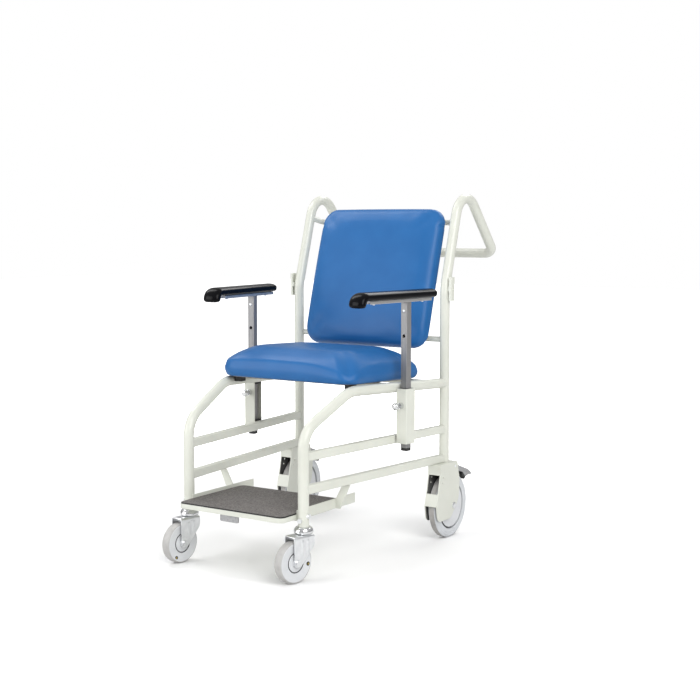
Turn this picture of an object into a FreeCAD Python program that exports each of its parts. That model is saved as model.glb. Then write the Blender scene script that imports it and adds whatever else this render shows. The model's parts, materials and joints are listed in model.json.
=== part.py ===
import FreeCAD, Part
import math
import os

from FreeCAD import Placement, Rotation, Vector

# Porter chair: a welded tube chair on two swivel castors and two braked rear wheels.
# Millimetres. +Z is up, the chair faces -Y, and +X is the sitter's left.
# Pieces are drawn with Y = 0 on the front legs, then moved so that the origin lies
# on the floor in the middle of the footprint.

# Clearances
WELD_GAP = 0.1          # fit-up gap between welded pieces
SEAT_GAP = 0.3          # gap between pieces that lie on each other
RUN_CLEAR = 0.05        # radial running clearance of a pin in its hole

# Bent tube frame
TUBE_D = 28.0
TUBE_WALL = 2.0
FRONT_LEG_SPACING = 370.0
REAR_POST_SPACING = 502.0
SIDE_LENGTH = 590.0             # front legs to rear posts
LEG_CORNER_Z = 371.0            # where the leg and the slope would meet
SLOPE_ANGLE = 25.4
SLOPE_BEND_R = 70.0
SEAT_RAIL_REAR_Z = 439.3
SEAT_TILT = 2.25                # seat rails fall to the rear
SEAT_BEND_R = 110.0

# Rear posts with push handles
POST_BEND_Z = 703.0
RECLINE = 16.5
POST_BEND_R = 120.0
HANDLE_APEX_UP = 329.0          # along the recline, from the post bend to the top corner
HANDLE_DROP_ANGLE = 47.8
HANDLE_TOP_R = 62.0
PUSH_BAR_Z = 798.0
PUSH_BAR_BEND_R = 30.0

# Side rails and cross members
RAIL_HEIGHT = 22.0
RAIL_WIDTH = 20.0
RAIL_CORNER_R = 3.0
MID_RAIL_Z = 298.5              # underside
LOW_RAIL_Z = 215.5              # underside
CROSS_TUBE_D = 16.0
SEAT_BAR_Y = (330.0, 500.0)
HOOP_INSET = 32.0               # hoop below the top of the backrest
HOOP_BEND_R = 25.0
HOOP_TUCK = 20.0                # hoop corners stand this far inside the posts
LOWER_BAR_INSET = 36.0          # lower bar above the bottom of the backrest

# Seat
SEAT_FRONT_Y = 165.0
SEAT_OVERHANG = 30.0            # beyond the front legs, each side
SEAT_DEPTH = 363.0
SEAT_CROWN = 88.0               # top of the crown over the rails
SEAT_CORNER_R = 48.0
SEAT_BOARD_INSET = 17.0
SEAT_BOARD_THICK = 12.0
SEAT_DRAW_IN = 4.0
SEAT_STOP_WIDTH = 24.0
SEAT_STOP_LENGTH = 22.0
SEAT_STOP_HEIGHT = 15.0

# Backrest
BACK_SIDE_GAP = 30.0            # between the cushion and each post
BACK_HEIGHT = 410.0
BACK_MIDDLE_UP = 35.0           # along the recline, from the post bend
BACK_FRONT = 20.0               # crown, ahead of the post plane
BACK_REAR = -36.0               # board, behind the post plane
BACK_CORNER_R = 48.0
BACK_BOARD_THICK = 10.0
BACK_BOARD_INSET = 8.0
BACK_BOARD_CORNER_R = 40.0
BACK_DRAW_IN = 4.0
BRACKET_WIDTH = 30.0
BRACKET_THICK = 3.0
BRACKET_X = 150.0

# Crown of both cushions
EDGE_TUCK = 6.0
EDGE_LIFT = 2.0                 # lower edge of the cover above the underside of the board
CROWN_STEPS = (0, 18, 36, 54, 72, 86)
CROWN_POWER = 0.77
CROWN_SHOULDER = 0.45           # of the height
CROWN_SPREAD = 0.36             # of the shorter side

# Drop-down arms
ARM_Y = 373.0
SOCKET_WIDTH = 34.0
SOCKET_DEPTH = 40.0
SOCKET_WALL = 3.0
SOCKET_BOTTOM_Z = 300.0
SOCKET_TOP_Z = 448.0
ARM_POST = 20.0
ARM_POST_WALL = 2.0
ARM_POST_CORNER_R = 1.5
ARM_POST_BOTTOM_Z = 288.0
ARM_POST_TOP_Z = 679.0
ARM_DROP = 185.0
BUSH_HEIGHT = 22.0
BUSH_CLEAR = 0.3
END_CAP_HEIGHT = 8.0
CHANNEL_WIDTH = 24.0
CHANNEL_HEIGHT = 8.0
CHANNEL_FRONT = -164.0
CHANNEL_REAR = 98.0
CHANNEL_WALL = 2.0
PAD_FRONT = -220.0
PAD_REAR = 110.0
PAD_WIDTH = 50.0
PAD_HEIGHT = 24.0
PAD_NOSE_DROP = 16.0
PAD_NOSE_START = 8.0            # turn-down ahead of the channel
PAD_NOSE_MID = 20.0
PAD_NOSE_FULL = 34.0
PAD_TIP = 9.0
PAD_END = 20.0                  # length of the rounded rear end
PAD_CORNER_R = 10.0
PAD_OUT = 3.0                   # pad offset outwards, so that it passes the seat cushion

# Index plungers
PLUNGER_Z = 403.0
PLUNGER_D = 8.0
PLUNGER_HOLE_D = 9.0
PLUNGER_TRAVEL = 6.0
COLLAR_D = 17.0
COLLAR_LENGTH = 11.0
COLLAR_BODY_D = 12.0
KNOB_D = 20.0
KNOB_LENGTH = 14.0

# Accessory bars on the posts
BAR_BOTTOM_Z = 671.0
BAR_HEIGHT = 66.0
BAR_WIDTH = 20.0
BAR_THICK = 8.0
BAR_WALL = 2.5
BAR_STANDOFF = 4.0
BAR_SPACER_HEIGHT = 12.0

# Both kinds of wheel
TREAD_SHARE = 0.44              # flat of the tread, of the tyre's width
RIM_INSET = 2.0                 # rim inside the tyre's width, each side

# Swivel castors
CASTOR_WHEEL_D = 105.0
CASTOR_TYRE_WIDTH = 26.0
CASTOR_RIM_D = 80.0
CASTOR_TRAIL = 36.0
CASTOR_SWIVEL = {1: 12.0, -1: 6.0}     # how far each castor stands turned in the rest pose
FORK_SHEET = 3.0
FORK_INNER = 32.0
FORK_CROWN_GAP = 11.0
FORK_BEND_R = 7.0
HEAD_HEIGHT = 17.5
HEAD_D = 48.0
STEM_LENGTH = 60.0
KINGPIN_D = 12.0
RIVET_D = 22.0
RIVET_HEIGHT = 4.5
CASTOR_AXLE_D = 8.0
CASTOR_NUT_D = 15.0
CASTOR_NUT_HEIGHT = 4.0
CASTOR_BOSS_D = 20.0
FORK_BOSS_R = 10.5              # round the axle
FORK_REAR = 20.5                # behind the king pin
FORK_SHOULDER = 38.0            # height over the axle where the legs start to narrow

# Rear wheels and their housings
REAR_WHEEL_D = 182.0
REAR_TYRE_WIDTH = 27.0
REAR_RIM_D = 150.0
WHEEL_OFFSET = 5.0              # wheel plane outside the post
REAR_AXLE_SETBACK = 13.0        # axle behind the post
REAR_AXLE_D = 12.0
REAR_BOSS_D = 34.0
AXLE_HEAD_D = 18.0
AXLE_HEAD_HEIGHT = 4.0
HOUSING_INNER = 34.0
HOUSING_SHEET = 3.0
HOUSING_TOP_FRONT = 63.0        # front edge ahead of the post, at the top
HOUSING_WINDOW_FRONT = 74.0     # at the bottom of the window
HOUSING_STRAP_FRONT = 83.0      # at the bottom of the strap
WINDOW_BOTTOM_Z = 135.0
WINDOW_TOP_Z = 187.0
STRAP_BOTTOM_Z = 101.0
CHEEK_TOP_REAR = 34.0           # behind the post
CHEEK_BULGE = 47.0
CHEEK_BULGE_Z = 160.0
CHEEK_AXLE_EDGE = 43.0
CHEEK_AXLE_EDGE_Z = 106.0
CHEEK_TIP_REAR = -4.0
CHEEK_TIP_FRONT = -76.0
CHEEK_TIP_Z = 57.0
CHEEK_RADII = (5.0, 6.0, 40.0, 45.0, 30.0, 18.0, 4.0, 8.0, 8.0)
RIVET_HOLE_D = 5.0
RIVET_HOLES = ((-47.0, 178.0), (-52.0, 164.0))

# Brake pedals
BRAKE_PIVOT_BACK = 22.0         # pivot behind the post
BRAKE_PIVOT_Z = 202.0
BRAKE_PIN_D = 8.0
BRAKE_BOSS_D = 16.0
PEDAL_WIDTH = 24.0
PEDAL_REACH = 132.0             # pedal tip behind the post
BRAKE_GAP = 8.0                 # shoe to tyre with the brake off
SHOE_ANGLE = 45.0               # shoe position round the tyre, above level
SHOE_LENGTH = 22.0
SHOE_THICK = 8.0
PEDAL_BLOCK = 16.0              # length of the block behind the shoe
PEDAL_BLOCK_HEIGHT = 19.0
PEDAL_PAD_RISE = 2.0
PEDAL_PAD_THICK = 4.0

# Slide-away footplate
TRAY_WIDTH = 334.0
TRAY_FRONT_Y = -66.0
TRAY_DEPTH = 268.0
TRAY_EDGE = 12.0
TRAY_SHEET = 2.0
TRAY_CORNER_R = 16.0
TRAY_REAR_R = 10.0
MAT_THICK = 3.5
MAT_INSET = 1.5
TAB_WIDTH = 58.0
TAB_DROP = 17.0
TAB_THICK = 4.0
RUNNER_BOTTOM_Z = 149.0
RUNNER_HEIGHT = 27.0
RUNNER_FLANGE = 25.0
RUNNER_SHEET = 3.0
RUNNER_FRONT_Y = -6.0
RUNNER_REAR_Y = 255.0
HANGER_Y = 165.0
HANGER_WIDTH = 22.0
HANGER_THICK = 4.0
BOLT_HEAD_D = 12.0
BOLT_HEAD_HEIGHT = 5.0
RUNNER_BOLT_Z = 163.0
CASTOR_BOLT_Z = 152.0

# Sizes that follow from the driving ones
TUBE_R = TUBE_D / 2.0
FRONT_X = FRONT_LEG_SPACING / 2.0
REAR_X = REAR_POST_SPACING / 2.0
TAPER = math.degrees(math.atan2(REAR_X - FRONT_X, SIDE_LENGTH))
SIDE_RUN = math.hypot(REAR_X - FRONT_X, SIDE_LENGTH)
CASTOR_R = CASTOR_WHEEL_D / 2.0
REAR_R = REAR_WHEEL_D / 2.0
FORK_TOP_Z = CASTOR_WHEEL_D + FORK_CROWN_GAP + FORK_SHEET
HEAD_BOTTOM_Z = FORK_TOP_Z + SEAT_GAP
LEG_BOTTOM_Z = HEAD_BOTTOM_Z + HEAD_HEIGHT
REAR_AXLE_Y = SIDE_LENGTH + REAR_AXLE_SETBACK
WHEEL_X = REAR_X + WHEEL_OFFSET
SOCKET_OUT = TUBE_R + WELD_GAP + SOCKET_WIDTH / 2.0
ARM_RUN = ARM_Y * SIDE_RUN / SIDE_LENGTH
PAD_BOTTOM_Z = ARM_POST_TOP_Z + CHANNEL_HEIGHT + SEAT_GAP
SEAT_WIDTH = FRONT_LEG_SPACING + 2 * SEAT_OVERHANG
BACK_WIDTH = REAR_POST_SPACING - TUBE_D - 2 * BACK_SIDE_GAP
HOOP_UP = BACK_MIDDLE_UP + BACK_HEIGHT / 2.0 - HOOP_INSET
LOWER_BAR_UP = BACK_MIDDLE_UP - BACK_HEIGHT / 2.0 + LOWER_BAR_INSET
UP = Vector(0, math.sin(math.radians(RECLINE)), math.cos(math.radians(RECLINE)))
AHEAD = Vector(0, -math.cos(math.radians(RECLINE)), math.sin(math.radians(RECLINE)))
SEAT_FALL = math.tan(math.radians(SEAT_TILT))
SEAT_BASE_Z = SEAT_RAIL_REAR_Z + (SIDE_LENGTH - SEAT_FRONT_Y) * SEAT_FALL + TUBE_R
RUNNER_OUTER_X = FRONT_X - TUBE_R - WELD_GAP
TRAY_BOTTOM_Z = RUNNER_BOTTOM_Z + RUNNER_SHEET + SEAT_GAP
TRAY_TOP_Z = TRAY_BOTTOM_Z + TRAY_EDGE


# Drawing helpers

def box(low, high):
    size = Vector(*high) - Vector(*low)
    return Part.makeBox(size.x, size.y, size.z, Vector(*low))


def rod(diameter, start, end):
    run = end - start
    return Part.makeCylinder(diameter / 2.0, run.Length, start, run)


def rounded_wire(points, radii):
    """Closed outline through corner points, each corner rounded by its own radius."""
    count = len(points)
    arcs = []
    for i in range(count):
        corner = points[i]
        back = (points[i - 1] - corner).normalize()
        on = (points[(i + 1) % count] - corner).normalize()
        half = back.getAngle(on) / 2.0
        reach = radii[i] / math.tan(half)
        middle = corner + (back + on).normalize() * (radii[i] / math.sin(half) - radii[i])
        arcs.append((corner + back * reach, middle, corner + on * reach))
    edges = []
    for i in range(count):
        start, middle, end = arcs[i]
        if radii[i] > 0:
            edges.append(Part.Arc(start, middle, end).toShape())
        following = arcs[(i + 1) % count][0]
        if (following - end).Length > 1e-6:
            edges.append(Part.LineSegment(end, following).toShape())
    return Part.Wire(edges)


def plate(points, radii, depth):
    """Rounded outline extruded along a vector."""
    return Part.Face(rounded_wire(points, radii)).extrude(depth)


def turned(profile, radii, base, axis):
    """Rounded outline revolved about an axis."""
    return Part.Face(rounded_wire(profile, radii)).revolve(base, axis, 360)


def bent_bar(points, radii, diameter):
    """Round bar along straight runs joined by tangent bends."""
    pieces = []
    last = points[0]
    for before, corner, after, radius in zip(points, points[1:], points[2:], radii):
        ahead = (corner - before).normalize()
        onward = (after - corner).normalize()
        turn = ahead.getAngle(onward)
        reach = radius * math.tan(turn / 2.0)
        start = corner - ahead * reach
        axis = ahead.cross(onward).normalize()
        centre = start + axis.cross(ahead) * radius
        disc = Part.Face(Part.Wire([Part.makeCircle(diameter / 2.0, start, ahead)]))
        pieces.append(rod(diameter, last, start))
        pieces.append(disc.revolve(centre, axis, math.degrees(turn)))
        last = corner + onward * reach
    pieces.append(rod(diameter, last, points[-1]))
    return pieces[0].multiFuse(pieces[1:]).removeSplitter()


def low_head(base, way, diameter, height):
    """Screw head: a rim with a shallow cone on it."""
    r = diameter / 2.0
    rim = Part.makeCylinder(r, height / 2.0, base, way)
    cone = Part.makeCone(r, 0.6 * r, height / 2.0, base + way * (height / 2.0), way)
    return rim.fuse(cone)


def soft_outline(half_width, low, high, corner, draw_in, level):
    """Cushion outline: rounded corners, and sides drawn in between them."""
    x, r = half_width, corner
    k = r * (1.0 - math.sqrt(0.5))
    mid = (low + high) / 2.0

    def at(px, py):
        return Vector(px, py, level)

    def arc(a, b, c):
        return Part.Arc(at(*a), at(*b), at(*c)).toShape()

    d = draw_in
    return Part.Wire([
        arc((-x + r, low), (0, low + d), (x - r, low)),
        arc((x - r, low), (x - k, low + k), (x, low + r)),
        arc((x, low + r), (x - d, mid), (x, high - r)),
        arc((x, high - r), (x - k, high - k), (x - r, high)),
        arc((x - r, high), (0, high - d), (-x + r, high)),
        arc((-x + r, high), (-x + k, high - k), (-x, high - r)),
        arc((-x, high - r), (-x + d, mid), (-x, low + r)),
        arc((-x, low + r), (-x + k, low + k), (-x + r, low)),
    ])


def crown_layers(base, shoulder, top, spread):
    """Heights and insets up a pad: a tucked edge, an upright side and a soft crown."""
    layers = [(base, EDGE_TUCK), (base + EDGE_TUCK, 0.0)]
    for degrees in CROWN_STEPS:
        angle = math.radians(degrees)
        rise = math.sin(angle) ** CROWN_POWER
        run = 1.0 - math.cos(angle) ** CROWN_POWER
        layers.append((shoulder + (top - shoulder) * rise, spread * run))
    return layers


def cushion(half_width, depth, corner, draw_in, layers):
    """Crowned pad: outlines at several heights, each inset from the full size."""
    wires = []
    for level, inset in layers:
        wires.append(soft_outline(half_width - inset, inset, depth - inset,
                                  corner, draw_in, level))
    return Part.makeLoft(wires, True, True)


# The two sides are mirror images, and lean in towards the front

def side_placed(shape):
    """Takes a piece from the side's own frame (out, along, up) to the chair's left side."""
    moved = shape.copy()
    moved.Placement = Placement(Vector(FRONT_X, 0, 0), Rotation(Vector(0, 0, 1), -TAPER))
    return moved


def mirrored(shape):
    return shape.mirror(Vector(0, 0, 0), Vector(1, 0, 0))


def seat_placed(shape):
    moved = shape.copy()
    turn = Rotation(Vector(1, 0, 0), -SEAT_TILT)
    moved.Placement = Placement(Vector(0, SEAT_FRONT_Y, SEAT_BASE_Z), turn)
    return moved


def back_placed(shape):
    """Takes a piece drawn flat (across, up the back, ahead) to the reclined back."""
    moved = shape.copy()
    turn = Rotation(Vector(1, 0, 0), 90.0 - RECLINE)
    moved.Placement = Placement(Vector(0, SIDE_LENGTH, POST_BEND_Z), turn)
    return moved


def back_point(across, up, ahead):
    return Vector(across, SIDE_LENGTH, POST_BEND_Z) + UP * up + AHEAD * ahead


# Frame tubes

def seat_corner():
    """Where the slope meets the seat rail, in the side's own frame."""
    rise = math.tan(math.radians(SLOPE_ANGLE))
    along = (SEAT_RAIL_REAR_Z + SIDE_RUN * SEAT_FALL - LEG_CORNER_Z) / (rise + SEAT_FALL)
    return Vector(0, along, LEG_CORNER_Z + along * rise)


def side_bar():
    points = [
        Vector(0, 0, LEG_BOTTOM_Z),
        Vector(0, 0, LEG_CORNER_Z),
        seat_corner(),
        Vector(0, SIDE_RUN, SEAT_RAIL_REAR_Z),
    ]
    return side_placed(bent_bar(points, [SLOPE_BEND_R, SEAT_BEND_R], TUBE_D))


def post_space():
    """The straight foot of the left post, with the fit-up gap round it."""
    return rod(TUBE_D + 2 * WELD_GAP, Vector(REAR_X, SIDE_LENGTH, 0),
               Vector(REAR_X, SIDE_LENGTH, POST_BEND_Z))


def leg_space():
    return rod(TUBE_D + 2 * WELD_GAP, Vector(FRONT_X, 0, 0), Vector(FRONT_X, 0, LEG_CORNER_Z))


def side_tube():
    bore = rod(TUBE_D - 2 * TUBE_WALL, Vector(FRONT_X, 0, LEG_BOTTOM_Z),
               Vector(FRONT_X, 0, LEG_BOTTOM_Z + STEM_LENGTH + TUBE_D))
    return side_bar().cut(post_space()).cut(bore)


def handle_corners():
    drop = math.tan(math.radians(HANDLE_DROP_ANGLE))
    apex = back_point(REAR_X, HANDLE_APEX_UP, 0)
    rear = Vector(REAR_X, apex.y + (apex.z - PUSH_BAR_Z) / drop, PUSH_BAR_Z)
    return apex, rear


def back_post():
    """Rear post, handle and half of the push bar: one tube, joined to its twin in the middle."""
    foot = Vector(REAR_X, SIDE_LENGTH, LOW_RAIL_Z)
    bend = Vector(REAR_X, SIDE_LENGTH, POST_BEND_Z)
    apex, rear = handle_corners()
    middle = Vector(WELD_GAP / 2.0, rear.y, PUSH_BAR_Z)
    return bent_bar([foot, bend, apex, rear, middle],
                    [POST_BEND_R, HANDLE_TOP_R, PUSH_BAR_BEND_R], TUBE_D)


def reclined_post_space():
    return rod(TUBE_D + 2 * WELD_GAP, Vector(REAR_X, SIDE_LENGTH, POST_BEND_Z),
               handle_corners()[0])


def side_rail(underside):
    w = RAIL_WIDTH / 2.0
    section = [
        Vector(-w, 0, underside),
        Vector(w, 0, underside),
        Vector(w, 0, underside + RAIL_HEIGHT),
        Vector(-w, 0, underside + RAIL_HEIGHT),
    ]
    bar = plate(section, [RAIL_CORNER_R] * 4, Vector(0, SIDE_RUN, 0))
    return side_placed(bar).cut(leg_space()).cut(post_space())


def both_posts_cut(shape, space):
    return shape.cut(space).cut(mirrored(space))


def hoop_back():
    """How far the cross tubes stand behind the post plane, to clear board and brackets."""
    return BACK_REAR - SEAT_GAP - BRACKET_THICK - SEAT_GAP - CROSS_TUBE_D / 2.0


def upper_back_hoop():
    root = REAR_X - TUBE_R / 2.0
    reach = REAR_X - HOOP_TUCK
    points = [
        back_point(-root, HOOP_UP, 0),
        back_point(-reach, HOOP_UP, hoop_back()),
        back_point(reach, HOOP_UP, hoop_back()),
        back_point(root, HOOP_UP, 0),
    ]
    bar = bent_bar(points, [HOOP_BEND_R, HOOP_BEND_R], CROSS_TUBE_D)
    return both_posts_cut(bar, reclined_post_space())


def lower_back_bar():
    """Straight bar behind the board, in line with the hoop's run."""
    ends = [back_point(x, LOWER_BAR_UP, hoop_back()) for x in (-REAR_X, REAR_X)]
    return both_posts_cut(rod(CROSS_TUBE_D, *ends), post_space())


def seat_bars():
    """Cross tubes under the seat board, level with the top of the side tubes."""
    bars = []
    rails = side_bar()
    for y in SEAT_BAR_Y:
        rail_z = SEAT_RAIL_REAR_Z + (SIDE_LENGTH - y) * SEAT_FALL
        z = rail_z + TUBE_R - CROSS_TUBE_D / 2.0
        x = FRONT_X + (REAR_X - FRONT_X) * y / SIDE_LENGTH
        bar = rod(CROSS_TUBE_D, Vector(-x, y, z), Vector(x, y, z))
        bars.append(both_posts_cut(bar, rails))
    return Part.makeCompound(bars)


# Seat

def seat_board_solid(grow):
    x = SEAT_WIDTH / 2.0 - SEAT_BOARD_INSET + grow
    low = SEAT_BOARD_INSET - grow
    high = SEAT_DEPTH - SEAT_BOARD_INSET + grow
    z = SEAT_GAP - grow
    corners = [Vector(-x, low, z), Vector(x, low, z), Vector(x, high, z), Vector(-x, high, z)]
    radius = SEAT_CORNER_R - SEAT_BOARD_INSET
    return plate(corners, [radius] * 4, Vector(0, 0, SEAT_BOARD_THICK + 2 * grow))


def seat_board():
    return seat_placed(seat_board_solid(0))


def seat_cushion():
    spread = CROWN_SPREAD * min(SEAT_WIDTH, SEAT_DEPTH)
    layers = crown_layers(EDGE_LIFT, CROWN_SHOULDER * SEAT_CROWN, SEAT_CROWN, spread)
    pad = cushion(SEAT_WIDTH / 2.0, SEAT_DEPTH, SEAT_CORNER_R, SEAT_DRAW_IN, layers)
    under = box((-SEAT_WIDTH, SEAT_BOARD_INSET, 0),
                (SEAT_WIDTH, SEAT_DEPTH - SEAT_BOARD_INSET, SEAT_GAP))
    return seat_placed(pad.cut(seat_board_solid(SEAT_GAP)).cut(under))


def seat_stops():
    """Rubber stops under the front corners of the board, against the side tubes."""
    along = seat_corner().y + SEAT_BEND_R * math.radians(SLOPE_ANGLE) / 2.0
    rail_z = SEAT_RAIL_REAR_Z + (SIDE_RUN - along) * SEAT_FALL
    inner = -TUBE_R - SEAT_GAP
    top = rail_z + TUBE_R
    block = box((inner - SEAT_STOP_WIDTH, along, top - SEAT_STOP_HEIGHT),
                (inner, along + SEAT_STOP_LENGTH, top))
    left = side_placed(block).cut(seat_placed(seat_board_solid(SEAT_GAP)))
    return Part.makeCompound([left, mirrored(left)])


# Backrest

def back_board_solid(grow):
    x = BACK_WIDTH / 2.0 - BACK_BOARD_INSET + grow
    y = BACK_HEIGHT / 2.0 - BACK_BOARD_INSET + grow
    m = BACK_MIDDLE_UP
    z = BACK_REAR - grow
    corners = [Vector(-x, m - y, z), Vector(x, m - y, z), Vector(x, m + y, z), Vector(-x, m + y, z)]
    return plate(corners, [BACK_BOARD_CORNER_R + grow] * 4,
                 Vector(0, 0, BACK_BOARD_THICK + 2 * grow))


def back_board():
    return back_placed(back_board_solid(0))


def back_cushion():
    shoulder = BACK_REAR + CROWN_SHOULDER * (BACK_FRONT - BACK_REAR)
    spread = CROWN_SPREAD * min(BACK_WIDTH, BACK_HEIGHT)
    layers = crown_layers(BACK_REAR + EDGE_LIFT, shoulder, BACK_FRONT, spread)
    pad = cushion(BACK_WIDTH / 2.0, BACK_HEIGHT, BACK_CORNER_R, BACK_DRAW_IN, layers)
    pad.translate(Vector(0, BACK_MIDDLE_UP - BACK_HEIGHT / 2.0, 0))
    return back_placed(pad.cut(back_board_solid(SEAT_GAP)))


def back_brackets():
    """Two straps on the board, from the lower bar up to the hoop."""
    low = LOWER_BAR_UP - BRACKET_WIDTH / 2.0
    high = HOOP_UP + BRACKET_WIDTH / 2.0
    rear = BACK_REAR - SEAT_GAP - BRACKET_THICK
    w = BRACKET_WIDTH / 2.0
    straps = []
    for x in (-BRACKET_X, BRACKET_X):
        corners = [Vector(x - w, low, rear), Vector(x + w, low, rear),
                   Vector(x + w, high, rear), Vector(x - w, high, rear)]
        strap = plate(corners, [w - 1.0] * 4, Vector(0, 0, BRACKET_THICK))
        straps.append(back_placed(strap))
    return Part.makeCompound(straps)


# Drop-down arms, in the side's own frame

def arm_socket():
    """Channel outside the seat rail, open towards the chair."""
    w = SOCKET_WIDTH / 2.0
    d = SOCKET_DEPTH / 2.0
    inner_d = d - SOCKET_WALL
    a = ARM_RUN
    shell = plate([Vector(SOCKET_OUT - w, a - d, SOCKET_BOTTOM_Z),
                   Vector(SOCKET_OUT + w, a - d, SOCKET_BOTTOM_Z),
                   Vector(SOCKET_OUT + w, a + d, SOCKET_BOTTOM_Z),
                   Vector(SOCKET_OUT - w, a + d, SOCKET_BOTTOM_Z)],
                  [0, SOCKET_WALL, SOCKET_WALL, 0],
                  Vector(0, 0, SOCKET_TOP_Z - SOCKET_BOTTOM_Z))
    hollow = box((SOCKET_OUT - w - 1, a - inner_d, SOCKET_BOTTOM_Z - 1),
                 (SOCKET_OUT + w - SOCKET_WALL, a + inner_d, SOCKET_TOP_Z + 1))
    hole = rod(COLLAR_BODY_D + 2 * WELD_GAP, Vector(SOCKET_OUT, a - d - 1, PLUNGER_Z),
               Vector(SOCKET_OUT, a, PLUNGER_Z))
    return side_placed(shell.cut(hollow).cut(hole))


def arm_guides():
    """Plastic guide blocks at the top and bottom of each socket."""
    w = SOCKET_WIDTH / 2.0
    inner_d = SOCKET_DEPTH / 2.0 - SOCKET_WALL - WELD_GAP
    p = ARM_POST / 2.0 + BUSH_CLEAR
    a = ARM_RUN
    passage = box((SOCKET_OUT - p, a - p, SOCKET_BOTTOM_Z - 1),
                  (SOCKET_OUT + p, a + p, SOCKET_TOP_Z + 1))
    blocks = []
    for low in (SOCKET_BOTTOM_Z, SOCKET_TOP_Z - BUSH_HEIGHT):
        block = box((SOCKET_OUT - w, a - inner_d, low),
                    (SOCKET_OUT + w - SOCKET_WALL - WELD_GAP, a + inner_d, low + BUSH_HEIGHT))
        blocks.append(side_placed(block.cut(passage)))
    return Part.makeCompound(blocks + [mirrored(b) for b in blocks])


def arm_post():
    """Square tube with an index hole for each height."""
    p = ARM_POST / 2.0
    inner = p - ARM_POST_WALL
    a = ARM_RUN
    x = SOCKET_OUT
    section = [Vector(x - p, a - p, ARM_POST_BOTTOM_Z), Vector(x + p, a - p, ARM_POST_BOTTOM_Z),
               Vector(x + p, a + p, ARM_POST_BOTTOM_Z), Vector(x - p, a + p, ARM_POST_BOTTOM_Z)]
    height = Vector(0, 0, ARM_POST_TOP_Z - ARM_POST_BOTTOM_Z)
    tube = plate(section, [ARM_POST_CORNER_R] * 4, height)
    tube = tube.cut(box((x - inner, a - inner, ARM_POST_BOTTOM_Z - 1),
                        (x + inner, a + inner, ARM_POST_TOP_Z + 1)))
    for z in (PLUNGER_Z, PLUNGER_Z + ARM_DROP):
        tube = tube.cut(rod(PLUNGER_HOLE_D, Vector(x, a - p - 1, z), Vector(x, a, z)))
    return side_placed(tube)


def arm_end_cap():
    """Plastic plug in the lower end of the arm post."""
    p = ARM_POST / 2.0
    inner = p - ARM_POST_WALL - WELD_GAP
    a = ARM_RUN
    x = SOCKET_OUT
    low = ARM_POST_BOTTOM_Z - END_CAP_HEIGHT
    section = [Vector(x - p, a - p, low), Vector(x + p, a - p, low),
               Vector(x + p, a + p, low), Vector(x - p, a + p, low)]
    flange = plate(section, [2.5] * 4, Vector(0, 0, END_CAP_HEIGHT))
    spigot = box((x - inner, a - inner, ARM_POST_BOTTOM_Z),
                 (x + inner, a + inner, ARM_POST_BOTTOM_Z + 2 * END_CAP_HEIGHT))
    return side_placed(flange.fuse(spigot))


def arm_channel():
    """Inverted channel that carries the pad on top of the post."""
    w = CHANNEL_WIDTH / 2.0
    low = ARM_POST_TOP_Z
    x = SOCKET_OUT
    start = ARM_RUN + CHANNEL_FRONT
    end = ARM_RUN + CHANNEL_REAR
    bar = box((x - w, start, low), (x + w, end, low + CHANNEL_HEIGHT))
    under = low + CHANNEL_HEIGHT - CHANNEL_WALL
    for near, far in ((start - 1, ARM_RUN - ARM_POST / 2.0), (ARM_RUN + ARM_POST / 2.0, end + 1)):
        bar = bar.cut(box((x - w + CHANNEL_WALL, near, low - 1),
                          (x + w - CHANNEL_WALL, far, under)))
    return side_placed(bar)


def pad_section(along, width, low, high, radius):
    w = width / 2.0
    x = SOCKET_OUT + PAD_OUT
    y = ARM_RUN + along
    corners = [Vector(x - w, y, low), Vector(x + w, y, low), Vector(x + w, y, high),
               Vector(x - w, y, high)]
    return rounded_wire(corners, [radius * 0.5, radius * 0.5, radius, radius])


def arm_pad():
    """Moulded pad with a rounded rear end and a nose turned down over the channel."""
    low = PAD_BOTTOM_Z
    thick = PAD_HEIGHT
    high = low + thick
    drop = PAD_NOSE_DROP
    full = PAD_WIDTH
    r = PAD_CORNER_R
    start = CHANNEL_FRONT - PAD_NOSE_START
    body = [
        pad_section(PAD_REAR, 0.6 * full, low + 0.3 * thick, high - 0.25 * thick, 0.4 * r),
        pad_section(PAD_REAR - 0.3 * PAD_END, 0.86 * full, low + 0.1 * thick,
                    high - 0.1 * thick, 0.7 * r),
        pad_section(PAD_REAR - PAD_END, full, low, high, r),
        pad_section(start, full, low, high, r),
    ]
    front = [
        pad_section(start, full, low, high, r),
        pad_section(CHANNEL_FRONT - PAD_NOSE_MID, full, low - 0.5 * drop, high - 0.06 * drop, r),
        pad_section(CHANNEL_FRONT - PAD_NOSE_FULL, 0.98 * full, low - drop, high - 0.3 * drop, r),
        pad_section(PAD_FRONT + PAD_TIP, 0.88 * full, low - 0.94 * drop, high - 0.88 * drop, 0.8 * r),
        pad_section(PAD_FRONT, 0.62 * full, low - 0.62 * drop, low + 0.12 * drop, 0.4 * r),
    ]
    whole = Part.makeLoft(body, True, True).fuse(Part.makeLoft(front, True, True))
    return side_placed(whole.removeSplitter())


def plunger_collar():
    """Threaded body of the index plunger, through the front of the socket."""
    face = ARM_RUN - SOCKET_DEPTH / 2.0
    collar = rod(COLLAR_D, Vector(SOCKET_OUT, face - COLLAR_LENGTH, PLUNGER_Z),
                 Vector(SOCKET_OUT, face, PLUNGER_Z))
    inside = ARM_RUN - ARM_POST / 2.0 - 2.0
    body = rod(COLLAR_BODY_D, Vector(SOCKET_OUT, face, PLUNGER_Z),
               Vector(SOCKET_OUT, inside, PLUNGER_Z))
    bore = rod(PLUNGER_D + 2 * RUN_CLEAR, Vector(SOCKET_OUT, face - COLLAR_LENGTH - 1, PLUNGER_Z),
               Vector(SOCKET_OUT, inside + 1, PLUNGER_Z))
    return side_placed(collar.fuse(body).cut(bore))


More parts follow.
